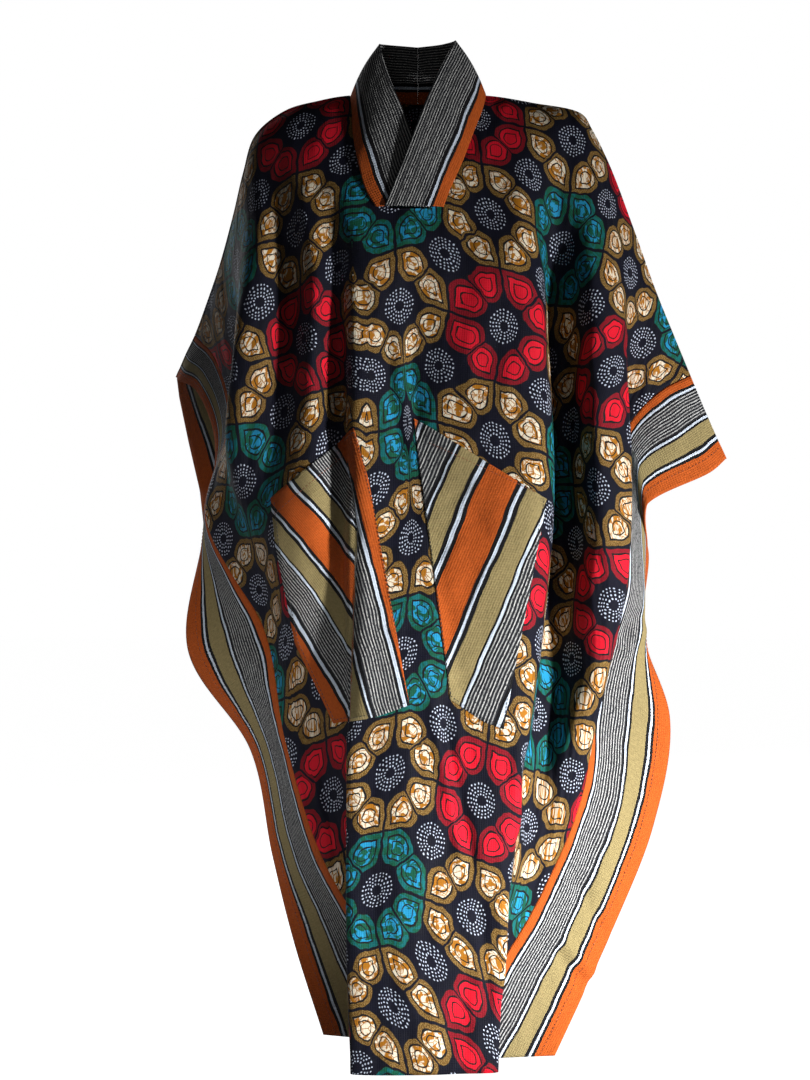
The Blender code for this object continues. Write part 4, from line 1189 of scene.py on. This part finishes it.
def build_stage(settings):
    """Pale studio floor that curves up behind, soft light and the camera at the photograph's view."""
    bpy.ops.object.select_all(action="DESELECT")
    drop_old("studio_floor")
    bpy.ops.mesh.primitive_plane_add(size=1, location=(0, 0, FLOOR_HEIGHT))
    floor = bpy.context.object
    floor.name = "studio_floor"
    floor.scale = (FLOOR_SIZE, FLOOR_SIZE, 1)
    bpy.ops.object.transform_apply(location=True, rotation=False, scale=True)
    bpy.ops.object.mode_set(mode="EDIT")
    bpy.ops.mesh.select_all(action="SELECT")
    bpy.ops.mesh.bevel(offset=FLOOR_CURVE, segments=24, affect="VERTICES")
    bpy.ops.object.mode_set(mode="OBJECT")
    floor.data.materials.append(studio_paper("seamless studio paper", settings.floor_colour))
    # The paper is lit from within and throws no light back on the cloth, so the folds keep their shade
    floor.visible_diffuse = False

    for name, place, target, size, power, spread in LIGHTS:
        drop_old(name)
        bpy.ops.object.light_add(type="AREA", location=place)
        light = bpy.context.object
        light.name = name
        light.data.shape = "DISK"
        light.data.size = size
        light.data.energy = power * settings.light_power
        light.data.spread = math.radians(spread)
        light.rotation_euler = (Vector(target) - Vector(place)).to_track_quat("-Z", "Y").to_euler()

    world = bpy.data.worlds.get("studio") or bpy.data.worlds.new("studio")
    bpy.context.scene.world = world
    world.use_nodes = True
    # The backdrop behind the robe is white, and the room round it is dim so that the folds keep their shade
    world.node_tree.nodes.clear()
    n = partial(add_node, world.node_tree)
    n("seen", "LightPath")
    n("strength", "MapRange", {0: "seen>Is Camera Ray", 3: settings.sky_strength, 4: 1.0})
    n("sky", "Background", {"Color": (1, 1, 1, 1), "Strength": "strength"})
    n("output", "OutputWorld", "sky")
    bpy.context.scene.view_settings.view_transform = "Standard"

    drop_old("photo_camera")
    bpy.ops.object.camera_add(location=CAMERA_PLACE, rotation=(math.pi / 2, 0, 0))
    camera = bpy.context.object
    camera.name = "photo_camera"
    camera.data.sensor_fit = "VERTICAL"
    camera.data.sensor_height = SENSOR
    camera.data.lens = SENSOR / 2 / (VIEW_HEIGHT / 2 / -CAMERA_PLACE[1])
    bpy.context.scene.camera = camera


def colour_property(name, description, code):
    return bpy.props.FloatVectorProperty(name=name, description=description, default=linear(code), size=3,
                                         min=0, max=1, subtype="COLOR")


class BoubouClothSettings(bpy.types.PropertyGroup):
    """Sizes and colours of the robe's cloth."""
    crease_strength: bpy.props.FloatProperty(
        name="Crease strength", description="How strongly the small creases show", default=1.0, min=0.0,
        max=1.5, subtype="FACTOR")
    stitch_length: bpy.props.FloatProperty(
        name="Stitch length", description="Length of one stitch", default=4.2 * MM, min=0.002, max=0.01,
        unit="LENGTH")
    orange: colour_property("Orange yarn", "Plain orange bands of the strip cloth", "#B2521C")
    khaki: colour_property("Khaki yarn", "Khaki bands of the strip cloth", "#8E7F56")
    black: colour_property("Black yarn", "Narrow dark bands and drawn lines", "#141416")
    pale: colour_property("Pale yarn", "Pale blue-white lines", "#C8D2E0")
    pin_dark: colour_property("Pin ground", "Ground of the pin-striped bands", "#26272B")
    pin_pale: colour_property("Pin line", "Fine lines of the pin-striped bands", "#B6B6B4")
    navy: colour_property("Navy ground", "Ground of the print", "#06070F")
    navy_light: colour_property("Navy ground, light", "Ground where the dye took less", "#0D0E1E")
    red: colour_property("Red", "Fill of the red petals", "#D01228")
    red_mid: colour_property("Red band", "Outer band of the red petals, light grain", "#8C1220")
    red_dark: colour_property("Red band, dark", "Outer band of the red petals, dark grain", "#70101C")
    gold: colour_property("Gold", "Fill of the gold petals", "#A06614")
    gold_dark: colour_property("Gold band, dark", "Outer band of the gold petals, dark grain", "#5C4014")
    gold_pale: colour_property("Gold band, light", "Outer band of the gold petals, light grain", "#8C7040")
    cream: colour_property("Cream", "Breaks in the gold petals", "#DCD2BC")
    teal: colour_property("Teal", "Outer band of the teal petals", "#105E60")
    cyan: colour_property("Cyan", "Fill of the teal petals", "#2088B4")
    green: colour_property("Green", "Breaks in the teal petals", "#12503C")
    dot_white: colour_property("Dot white", "Dots of the rosettes", "#C0C8DA")


class BoubouStageSettings(bpy.types.PropertyGroup):
    """Floor and light of the studio."""
    floor_colour: colour_property("Floor", "Colour of the studio paper", "#F4F4F4")
    light_power: bpy.props.FloatProperty(
        name="Light", description="Strength of every lamp against its own", default=1.0, min=0.0, max=10.0)
    sky_strength: bpy.props.FloatProperty(
        name="Sky", description="Strength of the even light all round", default=0.03, min=0.0, max=5.0)


class BOUBOU_OT_front(bpy.types.Operator):
    """Build the front panel and its two striped borders"""
    bl_idname = "boubou.front"
    bl_label = "Front panel and borders"

    def execute(self, context):
        settings = context.scene.boubou_cloth
        shape = front_shape(settings.crease_strength)
        left, right, last = (COLUMN_OF_FOLD[fold] for fold in (LEFT_SEAM, RIGHT_SEAM, -1))
        parts = (("front_border_left", 0, left, -1), ("front_panel", left, right, 0),
                 ("front_border_right", right, last, 1))
        build_half(shape, parts, -1, settings)
        return {"FINISHED"}


class BOUBOU_OT_back(bpy.types.Operator):
    """Build the back panel and its two striped borders"""
    bl_idname = "boubou.back"
    bl_label = "Back panel and borders"

    def execute(self, context):
        settings = context.scene.boubou_cloth
        shape = back_shape(settings.crease_strength)
        last = shape[0].shape[1] - 1
        parts = (("back_border_left", 0, BORDER_COLUMNS, -1),
                 ("back_panel", BORDER_COLUMNS, last - BORDER_COLUMNS, 0),
                 ("back_border_right", last - BORDER_COLUMNS, last, 1))
        build_half(shape, parts, 1, settings)
        return {"FINISHED"}


class BOUBOU_OT_collar(bpy.types.Operator):
    """Build both halves of the crossed collar"""
    bl_idname = "boubou.collar"
    bl_label = "Collar"

    def execute(self, context):
        build_collar(context.scene.boubou_cloth)
        return {"FINISHED"}


class BOUBOU_OT_pockets(bpy.types.Operator):
    """Build both patch pockets on the front"""
    bl_idname = "boubou.pockets"
    bl_label = "Patch pockets"

    def execute(self, context):
        settings = context.scene.boubou_cloth
        shape = front_shape(settings.crease_strength)
        # Columns of the front that each pocket lies over, from one of its folds to a little past its middle
        left, centre, right = (COLUMN_OF_FOLD[fold] for fold in (5, CENTRE_INDEX, CENTRE_INDEX + 3))
        reach = 3 * FINER_COLUMNS
        build_pocket("pocket_left", POCKET_LEFT, POCKET_LEFT[-2:], range(left, centre + reach),
                     left_stripes, shape, settings)
        build_pocket("pocket_right", POCKET_RIGHT, POCKET_RIGHT[1:3], range(centre - reach, right + 1),
                     right_stripes, shape, settings)
        return {"FINISHED"}


class BOUBOU_OT_thread(bpy.types.Operator):
    """Sew the hems and pockets"""
    bl_idname = "boubou.thread"
    bl_label = "Stitching"

    def execute(self, context):
        build_thread(context.scene.boubou_cloth)
        return {"FINISHED"}


class BOUBOU_OT_stage(bpy.types.Operator):
    """Set up the floor, the light and the camera"""
    bl_idname = "boubou.stage"
    bl_label = "Studio"

    def execute(self, context):
        build_stage(context.scene.boubou_stage)
        return {"FINISHED"}


class BOUBOU_PT_panel(bpy.types.Panel):
    """Steps and settings of the robe"""
    bl_idname = "BOUBOU_PT_panel"
    bl_label = "Grand boubou robe"
    bl_space_type = "VIEW_3D"
    bl_region_type = "UI"
    bl_category = "Boubou"

    def draw(self, context):
        for operator in OPERATORS:
            self.layout.operator(operator.bl_idname)
        for group in (context.scene.boubou_cloth, context.scene.boubou_stage):
            for name in group.__annotations__:
                self.layout.prop(group, name)


GROUPS = (BoubouClothSettings, BoubouStageSettings)
OPERATORS = (BOUBOU_OT_front, BOUBOU_OT_back, BOUBOU_OT_collar, BOUBOU_OT_pockets, BOUBOU_OT_thread,
             BOUBOU_OT_stage)


def register():
    for item in GROUPS + OPERATORS + (BOUBOU_PT_panel,):
        bpy.utils.register_class(item)
    bpy.types.Scene.boubou_cloth = bpy.props.PointerProperty(type=BoubouClothSettings)
    bpy.types.Scene.boubou_stage = bpy.props.PointerProperty(type=BoubouStageSettings)


def unregister():
    del bpy.types.Scene.boubou_stage
    del bpy.types.Scene.boubou_cloth
    for item in reversed(GROUPS + OPERATORS + (BOUBOU_PT_panel,)):
        bpy.utils.unregister_class(item)


def main():
    register()
    bpy.ops.boubou.front()
    bpy.ops.boubou.back()
    bpy.ops.boubou.collar()
    bpy.ops.boubou.pockets()
    bpy.ops.boubou.thread()
    bpy.ops.boubou.stage()


if __name__ == "__main__":
    main()
